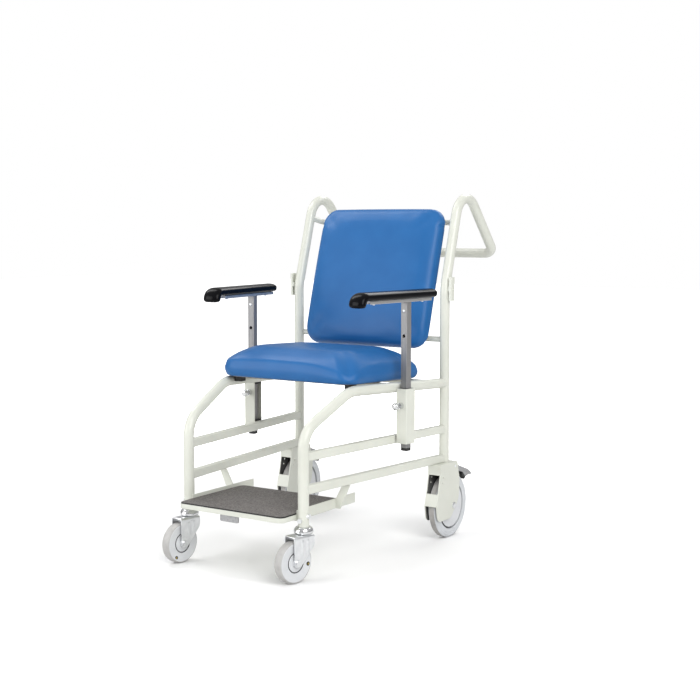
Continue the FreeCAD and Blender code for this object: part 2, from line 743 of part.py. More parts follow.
def plunger():
    """Pull knob and index pin, drawn out just clear of the arm post."""
    tip = ARM_RUN - ARM_POST / 2.0 - SEAT_GAP
    knob_face = ARM_RUN - SOCKET_DEPTH / 2.0 - COLLAR_LENGTH - SEAT_GAP - PLUNGER_TRAVEL
    r = KNOB_D / 2.0
    profile = [
        Vector(SOCKET_OUT, tip, PLUNGER_Z),
        Vector(SOCKET_OUT + PLUNGER_D / 2.0, tip, PLUNGER_Z),
        Vector(SOCKET_OUT + PLUNGER_D / 2.0, knob_face, PLUNGER_Z),
        Vector(SOCKET_OUT + 0.75 * r, knob_face, PLUNGER_Z),
        Vector(SOCKET_OUT + r, knob_face - 0.4 * KNOB_LENGTH, PLUNGER_Z),
        Vector(SOCKET_OUT + r, knob_face - 0.85 * KNOB_LENGTH, PLUNGER_Z),
        Vector(SOCKET_OUT + 0.8 * r, knob_face - KNOB_LENGTH, PLUNGER_Z),
        Vector(SOCKET_OUT, knob_face - KNOB_LENGTH, PLUNGER_Z),
    ]
    base = Vector(SOCKET_OUT, 0, PLUNGER_Z)
    return side_placed(turned(profile, [0] * len(profile), base, Vector(0, 1, 0)))


# Accessory bars

def accessory_bar():
    """Channel held off the outside of the post, with a screw through its spacer."""
    inner = REAR_X + TUBE_R + BAR_STANDOFF
    outer = inner + BAR_THICK
    w = BAR_WIDTH / 2.0
    y = SIDE_LENGTH
    top = BAR_BOTTOM_Z + BAR_HEIGHT
    mid = BAR_BOTTOM_Z + BAR_HEIGHT / 2.0
    section = [Vector(inner, y - w, BAR_BOTTOM_Z), Vector(outer, y - w, BAR_BOTTOM_Z),
               Vector(outer, y + w, BAR_BOTTOM_Z), Vector(inner, y + w, BAR_BOTTOM_Z)]
    bar = plate(section, [0, BAR_WALL, BAR_WALL, 0], Vector(0, 0, BAR_HEIGHT))
    bar = bar.cut(box((inner - 1, y - w + BAR_WALL, BAR_BOTTOM_Z - 1),
                      (outer - BAR_WALL, y + w - BAR_WALL, top + 1)))
    half = BAR_SPACER_HEIGHT / 2.0
    spacer = box((REAR_X + TUBE_R + WELD_GAP, y - w + BAR_WALL, mid - half),
                 (outer - BAR_WALL / 2.0, y + w - BAR_WALL, mid + half))
    screw = rod(BOLT_HEAD_D / 2.0, Vector(outer - 1, y, mid), Vector(outer + 2.5, y, mid))
    return bar.fuse(spacer).fuse(screw).removeSplitter()


# Rear wheel housings

def housing_outline(x):
    y = SIDE_LENGTH
    top = LOW_RAIL_Z
    points = [
        Vector(x, y - HOUSING_TOP_FRONT, top), Vector(x, y + CHEEK_TOP_REAR, top),
        Vector(x, y + CHEEK_BULGE, CHEEK_BULGE_Z),
        Vector(x, y + CHEEK_AXLE_EDGE, CHEEK_AXLE_EDGE_Z),
        Vector(x, y + CHEEK_TIP_REAR, CHEEK_TIP_Z), Vector(x, y + CHEEK_TIP_FRONT, CHEEK_TIP_Z),
        Vector(x, y - HOUSING_STRAP_FRONT, STRAP_BOTTOM_Z),
        Vector(x, y - HOUSING_WINDOW_FRONT, WINDOW_BOTTOM_Z),
        Vector(x, y - HOUSING_TOP_FRONT, WINDOW_TOP_Z),
    ]
    return points, CHEEK_RADII


def wheel_housing():
    """Folded sheet fork: two cheeks, a top, a front plate, and a strap under a window."""
    half = HOUSING_INNER / 2.0 + HOUSING_SHEET
    y = SIDE_LENGTH
    points, radii = housing_outline(WHEEL_X - half)
    shell = plate(points, radii, Vector(2 * half, 0, 0))
    s = HOUSING_SHEET
    x = WHEEL_X - HOUSING_INNER / 2.0
    top = LOW_RAIL_Z - s
    beyond = y + 2 * CHEEK_BULGE
    inside = [
        Vector(x, y - HOUSING_TOP_FRONT + s, top), Vector(x, beyond, top), Vector(x, beyond, 0),
        Vector(x, y - HOUSING_STRAP_FRONT + s, 0),
        Vector(x, y - HOUSING_STRAP_FRONT + s, STRAP_BOTTOM_Z),
        Vector(x, y - HOUSING_WINDOW_FRONT + s, WINDOW_BOTTOM_Z),
        Vector(x, y - HOUSING_TOP_FRONT + s, WINDOW_TOP_Z),
    ]
    across = Vector(HOUSING_INNER, 0, 0)
    shell = shell.cut(plate(inside, [0] * len(inside), across))
    for low, high in ((WINDOW_BOTTOM_Z, WINDOW_TOP_Z), (0, STRAP_BOTTOM_Z)):
        shell = shell.cut(box((x, y - 2 * HOUSING_STRAP_FRONT, low), (x + HOUSING_INNER, y, high)))
    holes = [
        (REAR_AXLE_Y, REAR_R, REAR_AXLE_D + 2 * RUN_CLEAR),
        (y + BRAKE_PIVOT_BACK, BRAKE_PIVOT_Z, BRAKE_PIN_D + 2 * RUN_CLEAR),
    ]
    holes += [(y + back, up, RIVET_HOLE_D) for back, up in RIVET_HOLES]
    for hole_y, hole_z, size in holes:
        shell = shell.cut(rod(size, Vector(WHEEL_X - 2 * half, hole_y, hole_z),
                              Vector(WHEEL_X + 2 * half, hole_y, hole_z)))
    return shell


def rear_axle():
    """Bolt through the cheeks with a low head outside and a nut inside."""
    half = HOUSING_INNER / 2.0 + HOUSING_SHEET
    inner = WHEEL_X - half
    outer = WHEEL_X + half
    shaft = rod(REAR_AXLE_D, Vector(inner - AXLE_HEAD_HEIGHT, REAR_AXLE_Y, REAR_R),
                Vector(outer + 1, REAR_AXLE_Y, REAR_R))
    head = low_head(Vector(outer, REAR_AXLE_Y, REAR_R), Vector(1, 0, 0), AXLE_HEAD_D,
                    AXLE_HEAD_HEIGHT)
    nut = rod(AXLE_HEAD_D, Vector(inner - AXLE_HEAD_HEIGHT, REAR_AXLE_Y, REAR_R),
              Vector(inner, REAR_AXLE_Y, REAR_R))
    return shaft.fuse(head).fuse(nut).removeSplitter()


# Wheels, drawn about their own axle along X

def tyre(diameter, rim, width):
    """Tread with shoulders that fall off in two steps."""
    w = width / 2.0
    r = diameter / 2.0
    tread = TREAD_SHARE * w
    half = [(rim / 2.0, w), (r - 0.26 * width, w), (r - 0.09 * width, 0.86 * w), (r, tread)]
    profile = [Vector(x, radius, 0) for radius, x in half]
    profile += [Vector(-x, radius, 0) for radius, x in reversed(half)]
    return turned(profile, [0] * len(profile), Vector(0, 0, 0), Vector(1, 0, 0))


def hub(rim, width, boss, boss_d, bore):
    """Disc with a raised rim, a stepped web and a long boss, turned about the axle."""
    w = width / 2.0
    outer = rim / 2.0
    step = 0.72 * outer
    web = 0.62 * w
    b = boss / 2.0
    br = boss_d / 2.0
    half = [(bore / 2.0, b), (br, b), (br, web), (step, web), (1.1 * step, w), (outer, w)]
    profile = [Vector(x, r, 0) for r, x in half]
    profile += [Vector(-x, r, 0) for r, x in reversed(half)]
    return turned(profile, [0] * len(profile), Vector(0, 0, 0), Vector(1, 0, 0))


def at_rear_axle(shape):
    shape.translate(Vector(WHEEL_X, REAR_AXLE_Y, REAR_R))
    return shape


def rear_tyre():
    return at_rear_axle(tyre(REAR_WHEEL_D, REAR_RIM_D, REAR_TYRE_WIDTH))


def rear_hub():
    return at_rear_axle(hub(REAR_RIM_D, REAR_TYRE_WIDTH - 2 * RIM_INSET,
                            HOUSING_INNER - 2 * SEAT_GAP, REAR_BOSS_D,
                            REAR_AXLE_D + 2 * RUN_CLEAR))


# Brake pedals

def shoe_seat(gap):
    """Point on the shoe's face, that far from the tyre, and the way it faces."""
    angle = math.radians(SHOE_ANGLE)
    out = Vector(0, math.cos(angle), math.sin(angle))
    return Vector(WHEEL_X, REAR_AXLE_Y, REAR_R) + out * (REAR_R + gap), out


def brake_shoe():
    """Rubber block, hollowed to the curve of the tyre."""
    face, out = shoe_seat(BRAKE_GAP)
    turn = Rotation(Vector(1, 0, 0), SHOE_ANGLE - 90.0)
    w = PEDAL_WIDTH / 2.0
    block = box((-w, -SHOE_LENGTH / 2.0, -2.0), (w, SHOE_LENGTH / 2.0, SHOE_THICK))
    block.Placement = Placement(face, turn)
    centre = Vector(0, REAR_AXLE_Y, REAR_R)
    sweep = rod(2 * (REAR_R + BRAKE_GAP), centre + Vector(WHEEL_X - 2 * w, 0, 0),
                centre + Vector(WHEEL_X + 2 * w, 0, 0))
    return block.cut(sweep)


def brake_pedal():
    """Cast lever: a boss on the pivot, a block that backs the shoe, and a thin foot pad."""
    y = SIDE_LENGTH
    x = WHEEL_X - PEDAL_WIDTH / 2.0
    face, out = shoe_seat(BRAKE_GAP + SHOE_THICK + WELD_GAP)
    along = Vector(0, out.z, -out.y)
    back = face + along * (SHOE_LENGTH / 2.0)
    front = face - along * (SHOE_LENGTH / 2.0)
    pivot_y = y + BRAKE_PIVOT_BACK
    tip = y + PEDAL_REACH
    outline = [
        Vector(x, pivot_y, BRAKE_PIVOT_Z - BRAKE_BOSS_D / 2.0),
        Vector(x, front.y, front.z),
        Vector(x, back.y, back.z),
        Vector(x, back.y + PEDAL_BLOCK, back.z + PEDAL_PAD_THICK),
        Vector(x, tip, back.z + PEDAL_PAD_RISE),
        Vector(x, tip, back.z + PEDAL_PAD_RISE + PEDAL_PAD_THICK),
        Vector(x, back.y + PEDAL_BLOCK, back.z + PEDAL_BLOCK_HEIGHT),
        Vector(x, pivot_y, BRAKE_PIVOT_Z + BRAKE_BOSS_D / 2.0),
    ]
    arm = plate(outline, [0, 0, 2.0, 6.0, 1.5, 1.5, 10.0, 0], Vector(PEDAL_WIDTH, 0, 0))
    ends = (Vector(x, pivot_y, BRAKE_PIVOT_Z), Vector(x + PEDAL_WIDTH, pivot_y, BRAKE_PIVOT_Z))
    return arm.fuse(rod(BRAKE_BOSS_D, *ends)).removeSplitter().cut(
        rod(BRAKE_PIN_D + 2 * RUN_CLEAR, *ends))


def brake_pin():
    half = HOUSING_INNER / 2.0 + HOUSING_SHEET
    y = SIDE_LENGTH + BRAKE_PIVOT_BACK
    return rod(BRAKE_PIN_D, Vector(WHEEL_X - half, y, BRAKE_PIVOT_Z),
               Vector(WHEEL_X + half, y, BRAKE_PIVOT_Z))


# Swivel castors, drawn with the swivel on the Z axis and the wheel trailing to the front

def castor_placed(shape, side):
    moved = shape.copy()
    turn = Rotation(Vector(0, 0, 1), -CASTOR_SWIVEL[side])
    moved.Placement = Placement(Vector(side * FRONT_X, 0, 0), turn).multiply(moved.Placement)
    return moved


def castor_fork():
    """Pressed fork: a crown bent down into two legs that narrow to the axle."""
    w = FORK_INNER / 2.0
    outer = w + FORK_SHEET
    crown = FORK_TOP_Z - FORK_SHEET
    long_way = 4 * CASTOR_TRAIL
    start = -long_way / 2.0
    arch = plate([Vector(-outer, start, 0), Vector(outer, start, 0),
                  Vector(outer, start, FORK_TOP_Z), Vector(-outer, start, FORK_TOP_Z)],
                 [0, 0, FORK_BEND_R, FORK_BEND_R], Vector(0, long_way, 0))
    inner_r = FORK_BEND_R - FORK_SHEET
    arch = arch.cut(plate([Vector(-w, start, -1), Vector(w, start, -1),
                           Vector(w, start, crown), Vector(-w, start, crown)],
                          [0, 0, inner_r, inner_r], Vector(0, long_way, 0)))
    b = FORK_BOSS_R
    front = -CASTOR_TRAIL - b
    outline = [
        Vector(-outer, front, FORK_TOP_Z), Vector(-outer, FORK_REAR, FORK_TOP_Z),
        Vector(-outer, FORK_REAR, CASTOR_R + FORK_SHOULDER),
        Vector(-outer, -CASTOR_TRAIL + b, CASTOR_R - b), Vector(-outer, front, CASTOR_R - b),
    ]
    side_view = plate(outline, [0.3 * b, 0.7 * b, 2.2 * b, 0.7 * b, 0.9 * b], Vector(2 * outer, 0, 0))
    fork = arch.common(side_view)
    axle = rod(CASTOR_AXLE_D + 2 * RUN_CLEAR, Vector(-outer - 1, -CASTOR_TRAIL, CASTOR_R),
               Vector(outer + 1, -CASTOR_TRAIL, CASTOR_R))
    king = rod(KINGPIN_D + 2 * RUN_CLEAR, Vector(0, 0, crown - 1), Vector(0, 0, FORK_TOP_Z + 1))
    return fork.cut(axle).cut(king)


def castor_stem():
    """Stem, domed bearing head and king pin, riveted over under the crown."""
    stem_r = TUBE_D / 2.0 - TUBE_WALL - WELD_GAP
    crown = FORK_TOP_Z - FORK_SHEET - SEAT_GAP
    top = LEG_BOTTOM_Z
    r = HEAD_D / 2.0
    profile = [
        Vector(0, 0, crown - RIVET_HEIGHT), Vector(RIVET_D / 2.0, 0, crown - RIVET_HEIGHT),
        Vector(RIVET_D / 2.0, 0, crown), Vector(KINGPIN_D / 2.0, 0, crown),
        Vector(KINGPIN_D / 2.0, 0, HEAD_BOTTOM_Z), Vector(0.82 * r, 0, HEAD_BOTTOM_Z),
        Vector(0.82 * r, 0, HEAD_BOTTOM_Z + 0.17 * HEAD_HEIGHT),
        Vector(r, 0, HEAD_BOTTOM_Z + 0.26 * HEAD_HEIGHT),
        Vector(r, 0, HEAD_BOTTOM_Z + 0.46 * HEAD_HEIGHT),
        Vector(0.9 * r, 0, HEAD_BOTTOM_Z + 0.74 * HEAD_HEIGHT),
        Vector(0.62 * r, 0, top), Vector(stem_r, 0, top),
        Vector(stem_r, 0, top + STEM_LENGTH), Vector(0, 0, top + STEM_LENGTH),
    ]
    return turned(profile, [0] * len(profile), Vector(0, 0, 0), Vector(0, 0, 1))


def castor_axle():
    outer = FORK_INNER / 2.0 + FORK_SHEET
    end = outer + CASTOR_NUT_HEIGHT

    def nut(x):
        return rod(CASTOR_NUT_D, Vector(x, -CASTOR_TRAIL, CASTOR_R),
                   Vector(x + CASTOR_NUT_HEIGHT, -CASTOR_TRAIL, CASTOR_R))

    shaft = rod(CASTOR_AXLE_D, Vector(-end, -CASTOR_TRAIL, CASTOR_R),
                Vector(end, -CASTOR_TRAIL, CASTOR_R))
    return shaft.fuse(nut(outer)).fuse(nut(-end)).removeSplitter()


def at_castor_axle(shape):
    shape.translate(Vector(0, -CASTOR_TRAIL, CASTOR_R))
    return shape


def castor_tyre():
    return at_castor_axle(tyre(CASTOR_WHEEL_D, CASTOR_RIM_D, CASTOR_TYRE_WIDTH))


def castor_hub():
    return at_castor_axle(hub(CASTOR_RIM_D, CASTOR_TYRE_WIDTH - 2 * RIM_INSET,
                              FORK_INNER - 2 * SEAT_GAP, CASTOR_BOSS_D,
                              CASTOR_AXLE_D + 2 * RUN_CLEAR))


# Footplate

def tray_outline(inset, level):
    x = TRAY_WIDTH / 2.0 - inset
    front = TRAY_FRONT_Y + inset
    rear = TRAY_FRONT_Y + TRAY_DEPTH - inset
    corners = [Vector(-x, front, level), Vector(x, front, level), Vector(x, rear, level),
               Vector(-x, rear, level)]
    big = TRAY_CORNER_R - inset
    small = TRAY_REAR_R - inset
    return corners, [big, big, small, small]


def footplate_tray():
    """Sheet tray with its edges turned down."""
    block = plate(*tray_outline(0, TRAY_BOTTOM_Z), Vector(0, 0, TRAY_EDGE))
    hollow = plate(*tray_outline(TRAY_SHEET, TRAY_BOTTOM_Z), Vector(0, 0, TRAY_EDGE - TRAY_SHEET))
    return block.cut(hollow)


def footplate_mat():
    return plate(*tray_outline(MAT_INSET, TRAY_TOP_Z), Vector(0, 0, MAT_THICK))


def pull_tab():
    """Grip plate behind the front edge of the tray."""
    w = TAB_WIDTH / 2.0
    y = TRAY_FRONT_Y + TRAY_SHEET + WELD_GAP
    low = TRAY_BOTTOM_Z - TAB_DROP
    high = TRAY_TOP_Z - TRAY_SHEET - WELD_GAP
    corners = [Vector(-w, y, low), Vector(w, y, low), Vector(w, y, high), Vector(-w, y, high)]
    return plate(corners, [4.0, 4.0, 0, 0], Vector(0, TAB_THICK, 0))


def footplate_runner():
    """Angle runner inside the front leg, with the tray on its lower flange."""
    x = RUNNER_OUTER_X
    low = RUNNER_BOTTOM_Z
    points = [
        Vector(x - RUNNER_FLANGE, RUNNER_FRONT_Y, low), Vector(x, RUNNER_FRONT_Y, low),
        Vector(x, RUNNER_FRONT_Y, low + RUNNER_HEIGHT),
        Vector(x - RUNNER_SHEET, RUNNER_FRONT_Y, low + RUNNER_HEIGHT),
        Vector(x - RUNNER_SHEET, RUNNER_FRONT_Y, low + RUNNER_SHEET),
        Vector(x - RUNNER_FLANGE, RUNNER_FRONT_Y, low + RUNNER_SHEET),
    ]
    return plate(points, [0, RUNNER_SHEET - 0.5, 0, 0, 0, 0],
                 Vector(0, RUNNER_REAR_Y - RUNNER_FRONT_Y, 0))


def runner_hanger():
    """Flat strap from the underside of the low rail in to the runner."""
    rail_x = FRONT_X + (REAR_X - FRONT_X) * HANGER_Y / SIDE_LENGTH
    x = RUNNER_OUTER_X + WELD_GAP
    top = LOW_RAIL_Z - WELD_GAP
    half = HANGER_WIDTH / 2.0
    y = HANGER_Y - HANGER_THICK / 2.0
    low = RUNNER_BOTTOM_Z + 1.0
    points = [
        Vector(rail_x - half, y, top), Vector(rail_x + half, y, top),
        Vector(x + 0.6 * HANGER_WIDTH, y, low), Vector(x, y, low),
        Vector(x, y, RUNNER_BOTTOM_Z + RUNNER_HEIGHT),
    ]
    return plate(points, [0, 0, 2.0, 0, 0], Vector(0, HANGER_THICK, 0))


def frame_bolts():
    """Round heads on each front leg: runner bolt outside, castor bolt in front."""
    leg = leg_space()
    heads = []
    for z, way in ((RUNNER_BOLT_Z, Vector(1, 0, 0)), (CASTOR_BOLT_Z, Vector(0, -1, 0))):
        sunk = TUBE_R - math.sqrt(TUBE_R ** 2 - (BOLT_HEAD_D / 2.0) ** 2)
        base = Vector(FRONT_X, 0, z) + way * (TUBE_R - sunk)
        head = Part.makeCylinder(BOLT_HEAD_D / 2.0, BOLT_HEAD_HEIGHT + sunk, base, way)
        heads.append(head.cut(leg))
    return Part.makeCompound(heads + [mirrored(h) for h in heads])


# The whole chair

def pair(name, maker):
    left = maker()
    return {name + "_left": left, name + "_right": mirrored(left)}


def group(maker):
    left = maker()
    return Part.makeCompound([left, mirrored(left)])


def castor_pair(name, maker):
    piece = maker()
    return {name + "_left": castor_placed(piece, 1), name + "_right": castor_placed(piece, -1)}


def build():
    nodes = {}
    for name, maker in (
        ("side_tube", side_tube), ("back_post", back_post),
        ("mid_rail", lambda: side_rail(MID_RAIL_Z)), ("low_rail", lambda: side_rail(LOW_RAIL_Z)),
        ("arm_socket", arm_socket), ("wheel_housing", wheel_housing),
        ("footplate_runner", footplate_runner), ("rear_tyre", rear_tyre), ("rear_hub", rear_hub),
        ("brake_pedal", brake_pedal), ("brake_shoe", brake_shoe), ("arm_post", arm_post),
        ("arm_channel", arm_channel), ("arm_pad", arm_pad), ("arm_end_cap", arm_end_cap),
        ("plunger", plunger),
    ):
        nodes.update(pair(name, maker))
    for name, maker in (
        ("castor_fork", castor_fork), ("castor_axle", castor_axle),
        ("castor_tyre", castor_tyre), ("castor_hub", castor_hub),
    ):
        nodes.update(castor_pair(name, maker))
    for name, maker in (
        ("accessory_bars", accessory_bar), ("rear_axles", rear_axle), ("brake_pins", brake_pin),
        ("runner_hangers", runner_hanger), ("plunger_collars", plunger_collar),
    ):
        nodes[name] = group(maker)
    stem = castor_stem()
    nodes["castor_stems"] = Part.makeCompound([castor_placed(stem, 1), castor_placed(stem, -1)])
    for maker in (
        upper_back_hoop, lower_back_bar, seat_bars, seat_board, seat_cushion, seat_stops,
        back_board, back_cushion, back_brackets, arm_guides, footplate_tray, footplate_mat,
        pull_tab, frame_bolts,
    ):
        nodes[maker.__name__] = maker()
    return nodes


def footprint_middle():
    """Half way between the front of the castor tyres and the back of the push bar."""
    tread = TREAD_SHARE * CASTOR_TYRE_WIDTH / 2.0
    fronts = []
    for degrees in CASTOR_SWIVEL.values():
        swivel = math.radians(degrees)
        fronts.append(-(CASTOR_TRAIL + CASTOR_R) * math.cos(swivel) - tread * math.sin(swivel))
    return (min(fronts) + handle_corners()[1].y + TUBE_R) / 2.0


def main():
    os.makedirs("parts", exist_ok=True)
    shift = Vector(0, -footprint_middle(), 0)
    for name, shape in build().items():
        placed = shape.copy()
        placed.translate(shift)
        placed.exportStep(os.path.join("parts", name + ".step"))
        print(name, len(placed.Solids), "valid" if placed.isValid() else "NOT VALID")


if __name__ == "__main__":
    main()
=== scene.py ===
import json
import math

import bmesh
import bpy
from mathutils import Matrix, Vector


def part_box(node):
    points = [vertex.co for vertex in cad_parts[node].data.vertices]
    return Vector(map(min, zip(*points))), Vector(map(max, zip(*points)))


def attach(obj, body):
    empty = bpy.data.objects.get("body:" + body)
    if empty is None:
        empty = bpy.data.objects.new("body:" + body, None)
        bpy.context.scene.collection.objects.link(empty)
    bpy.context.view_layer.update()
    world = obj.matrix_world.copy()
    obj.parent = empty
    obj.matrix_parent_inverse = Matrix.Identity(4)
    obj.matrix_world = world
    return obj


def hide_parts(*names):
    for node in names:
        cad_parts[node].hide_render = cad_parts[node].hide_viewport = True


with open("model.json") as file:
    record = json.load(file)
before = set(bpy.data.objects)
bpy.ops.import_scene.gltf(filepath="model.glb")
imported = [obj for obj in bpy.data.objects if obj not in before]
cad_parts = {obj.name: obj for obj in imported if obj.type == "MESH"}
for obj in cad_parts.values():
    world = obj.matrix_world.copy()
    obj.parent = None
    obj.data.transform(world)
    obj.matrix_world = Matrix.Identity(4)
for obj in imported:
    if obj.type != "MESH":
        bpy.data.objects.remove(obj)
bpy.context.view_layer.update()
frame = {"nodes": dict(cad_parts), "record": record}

# Metres, in the row frame: +Z up, the chair faces -Y, +X is the sitter's left.
MM = 0.001
UP = Vector((0, 0, 1))
SIDES = {"left": 1, "right": -1}       # with the sign of X
JOINTS = {joint["name"]: joint for joint in frame["record"]["behaviour"]["joints"]}
SLOT_OF = {row["node"]: row["material_slot"] for row in frame["record"]["subparts"]}
FRONT_Y = JOINTS["castor_swivel_left"]["pos_m"][1]     # line through the front legs


# Materials

def principled_of(material):
    return material.node_tree.nodes["Principled BSDF"]


def shader(name, color, roughness, metallic=0.0, **sockets):
    """A principled material with its constants set on the shader's own sockets."""
    material = bpy.data.materials.new(name)
    material.use_nodes = True
    principled = principled_of(material)
    principled.inputs["Base Color"].default_value = (*color, 1.0)
    principled.inputs["Roughness"].default_value = roughness
    principled.inputs["Metallic"].default_value = metallic
    for socket, value in sockets.items():
        principled.inputs[socket.replace("_", " ")].default_value = value
    return material


def add(material, kind, **values):
    node = material.node_tree.nodes.new(kind)
    for name, value in values.items():
        if name in node.inputs:
            node.inputs[name].default_value = value
        else:
            setattr(node, name, value)
    return node


def link(material, source, output, target, socket):
    material.node_tree.links.new(source.outputs[output], target.inputs[socket])


def place_texture(material, kind, scale, stretch=None, **values):
    """A texture in the object's own coordinates, scale in features per metre."""
    coordinates = add(material, "ShaderNodeTexCoord")
    texture = add(material, kind, **values)
    texture.inputs["Scale"].default_value = scale
    if stretch is None:
        link(material, coordinates, "Object", texture, "Vector")
    else:
        mapping = add(material, "ShaderNodeMapping")
        mapping.inputs["Scale"].default_value = stretch
        link(material, coordinates, "Object", mapping, "Vector")
        link(material, mapping, "Vector", texture, "Vector")
    return texture


def noise(material, scale, detail, stretch=None, **values):
    return place_texture(material, "ShaderNodeTexNoise", scale, stretch, Detail=detail, **values)


def vary_color(material, texture, dark, light, low=0.3, high=0.7):
    """Drives the base colour from dark to light by a texture's values between low and high."""
    ramp = add(material, "ShaderNodeValToRGB")
    ramp.color_ramp.elements[0].position = low
    ramp.color_ramp.elements[0].color = (*dark, 1.0)
    ramp.color_ramp.elements[1].position = high
    ramp.color_ramp.elements[1].color = (*light, 1.0)
    link(material, texture, 0, ramp, "Fac")
    link(material, ramp, "Color", principled_of(material), "Base Color")


def vary_roughness(material, texture, low, high):
    spread = add(material, "ShaderNodeMapRange")
    spread.inputs["To Min"].default_value = low
    spread.inputs["To Max"].default_value = high
    link(material, texture, 0, spread, "Value")
    link(material, spread, "Result", principled_of(material), "Roughness")


def bump(material, texture, distance, strength):
    principled = principled_of(material)
    node = add(material, "ShaderNodeBump")
    node.inputs["Strength"].default_value = strength
    node.inputs["Distance"].default_value = distance
    link(material, texture, 0, node, "Height")
    link(material, node, "Normal", principled, "Normal")


def cream_paint():
    """Powder coat: faint orange peel, a little unevenness in tone."""
    material = shader("cream_paint", (0.64, 0.65, 0.585), roughness=0.34, Coat_Weight=0.15)
    tone = noise(material, scale=9.0, detail=3.0)
    vary_color(material, tone, (0.615, 0.627, 0.56), (0.665, 0.677, 0.61))
    peel = noise(material, scale=900.0, detail=1.0)
    bump(material, peel, distance=0.12 * MM, strength=0.35)
    vary_roughness(material, tone, low=0.28, high=0.40)
    return material


def blue_vinyl():
    """Coated upholstery fabric: fine leather grain and broad faint unevenness."""
    material = shader("blue_vinyl", (0.016, 0.118, 0.335), roughness=0.36, Specular_IOR_Level=0.27)
    tone = noise(material, scale=14.0, detail=4.0)
    vary_color(material, tone, (0.014, 0.111, 0.32), (0.018, 0.125, 0.35))
    grain = place_texture(material, "ShaderNodeTexVoronoi", 900.0, feature="DISTANCE_TO_EDGE")
    bump(material, grain, distance=0.1 * MM, strength=0.3)
    soft = noise(material, scale=45.0, detail=2.0)
    vary_roughness(material, soft, low=0.33, high=0.43)
    return material


def black_pad():
    """Self-skinned foam: near black, glossy, with a faint moulded grain."""
    material = shader("black_pad", (0.003, 0.003, 0.004), roughness=0.2, Specular_IOR_Level=0.1)
    tone = noise(material, scale=25.0, detail=4.0)
    vary_color(material, tone, (0.002, 0.002, 0.003), (0.004, 0.004, 0.005))
    vary_roughness(material, tone, low=0.17, high=0.24)
    grain = noise(material, scale=1100.0, detail=2.0)
    bump(material, grain, distance=0.06 * MM, strength=0.3)
    return material


BRUSH_DARK = 0.9            # shares of the colour, in and between the marks
BRUSH_LIGHT = 1.06
BRUSH_SPREAD = 0.07         # of the roughness
ALONG_Z = (1500.0, 1500.0, 18.0)
ALONG_Y = (1500.0, 18.0, 1500.0)


def brushed(name, color, roughness, metallic, stretch):
    """Metal with fine marks drawn out along one way."""
    material = shader(name, color, roughness, metallic)
    marks = noise(material, scale=1.0, detail=4.0, stretch=stretch)
    dark = tuple(BRUSH_DARK * c for c in color)
    light = tuple(BRUSH_LIGHT * c for c in color)
    vary_color(material, marks, dark, light)
    vary_roughness(material, marks, roughness - BRUSH_SPREAD, roughness + BRUSH_SPREAD)
    bump(material, marks, distance=0.05 * MM, strength=0.4)
    return material


def bare_aluminium():
    return brushed("bare_aluminium", (0.28, 0.278, 0.28), 0.45, 0.6, ALONG_Z)


def channel_aluminium():
    return brushed("channel_aluminium", (0.55, 0.545, 0.54), 0.4, 0.8, ALONG_Y)


def zinc_plate():
    """Bright zinc: slightly cloudy and bluish."""
    material = shader("zinc_plate", (0.80, 0.815, 0.83), roughness=0.3, metallic=1.0)
    cloud = noise(material, scale=70.0, detail=5.0)
    vary_color(material, cloud, (0.74, 0.755, 0.77), (0.85, 0.86, 0.87))
    vary_roughness(material, cloud, low=0.24, high=0.36)
    bump(material, cloud, distance=0.2 * MM, strength=0.1)
    return material


def bright_chrome():
    material = shader("bright_chrome", (0.72, 0.73, 0.74), roughness=0.1, metallic=1.0)
    haze = noise(material, scale=160.0, detail=4.0)
    vary_color(material, haze, (0.66, 0.67, 0.68), (0.78, 0.785, 0.79))
    vary_roughness(material, haze, low=0.06, high=0.17)
    return material


def grey_tyre():
    """Soft rubber tread: warm grey, dusty, with fine mould grain."""
    material = shader("grey_tyre", (0.36, 0.35, 0.33), roughness=0.62)
    dust = noise(material, scale=55.0, detail=6.0)
    vary_color(material, dust, (0.31, 0.30, 0.285), (0.41, 0.40, 0.385))
    grain = noise(material, scale=1300.0, detail=2.0)
    bump(material, grain, distance=0.15 * MM, strength=0.5)
    return material


NYLON_TINT = (0.98, 1.0, 1.025)
NYLON_DARK = 0.95           # share of the colour, in the flow marks


def nylon(name, level):
    """Moulded nylon: cool grey, faint flow marks."""
    light = tuple(level * tint for tint in NYLON_TINT)
    dark = tuple(NYLON_DARK * c for c in light)
    material = shader(name, light, roughness=0.3)
    flow = noise(material, scale=30.0, detail=4.0, Distortion=0.6)
    vary_color(material, flow, dark, light)
    vary_roughness(material, flow, low=0.24, high=0.38)
    grain = noise(material, scale=700.0, detail=1.0)
    bump(material, grain, distance=0.06 * MM, strength=0.3)
    return material


def grey_hub():
    return nylon("grey_hub", 0.66)


def castor_rubber():
    """Light non-marking rubber on the castor treads."""
    material = shader("castor_rubber", (0.44, 0.432, 0.42), roughness=0.5)
    dust = noise(material, scale=60.0, detail=6.0)
    vary_color(material, dust, (0.40, 0.393, 0.382), (0.48, 0.472, 0.46))
    grain = noise(material, scale=1300.0, detail=2.0)
    bump(material, grain, distance=0.12 * MM, strength=0.4)
    return material


def grit_mat():
    """Non-slip sheet: dense coarse grit in two tones."""
    material = shader("grit_mat", (0.15, 0.14, 0.133), roughness=0.85)
    speck = noise(material, scale=230.0, detail=8.0, Roughness=0.8)
    vary_color(material, speck, (0.07, 0.065, 0.062), (0.24, 0.224, 0.212), 0.38, 0.64)
    grain = place_texture(material, "ShaderNodeTexVoronoi", 650.0)
    bump(material, grain, distance=0.6 * MM, strength=0.6)
    return material


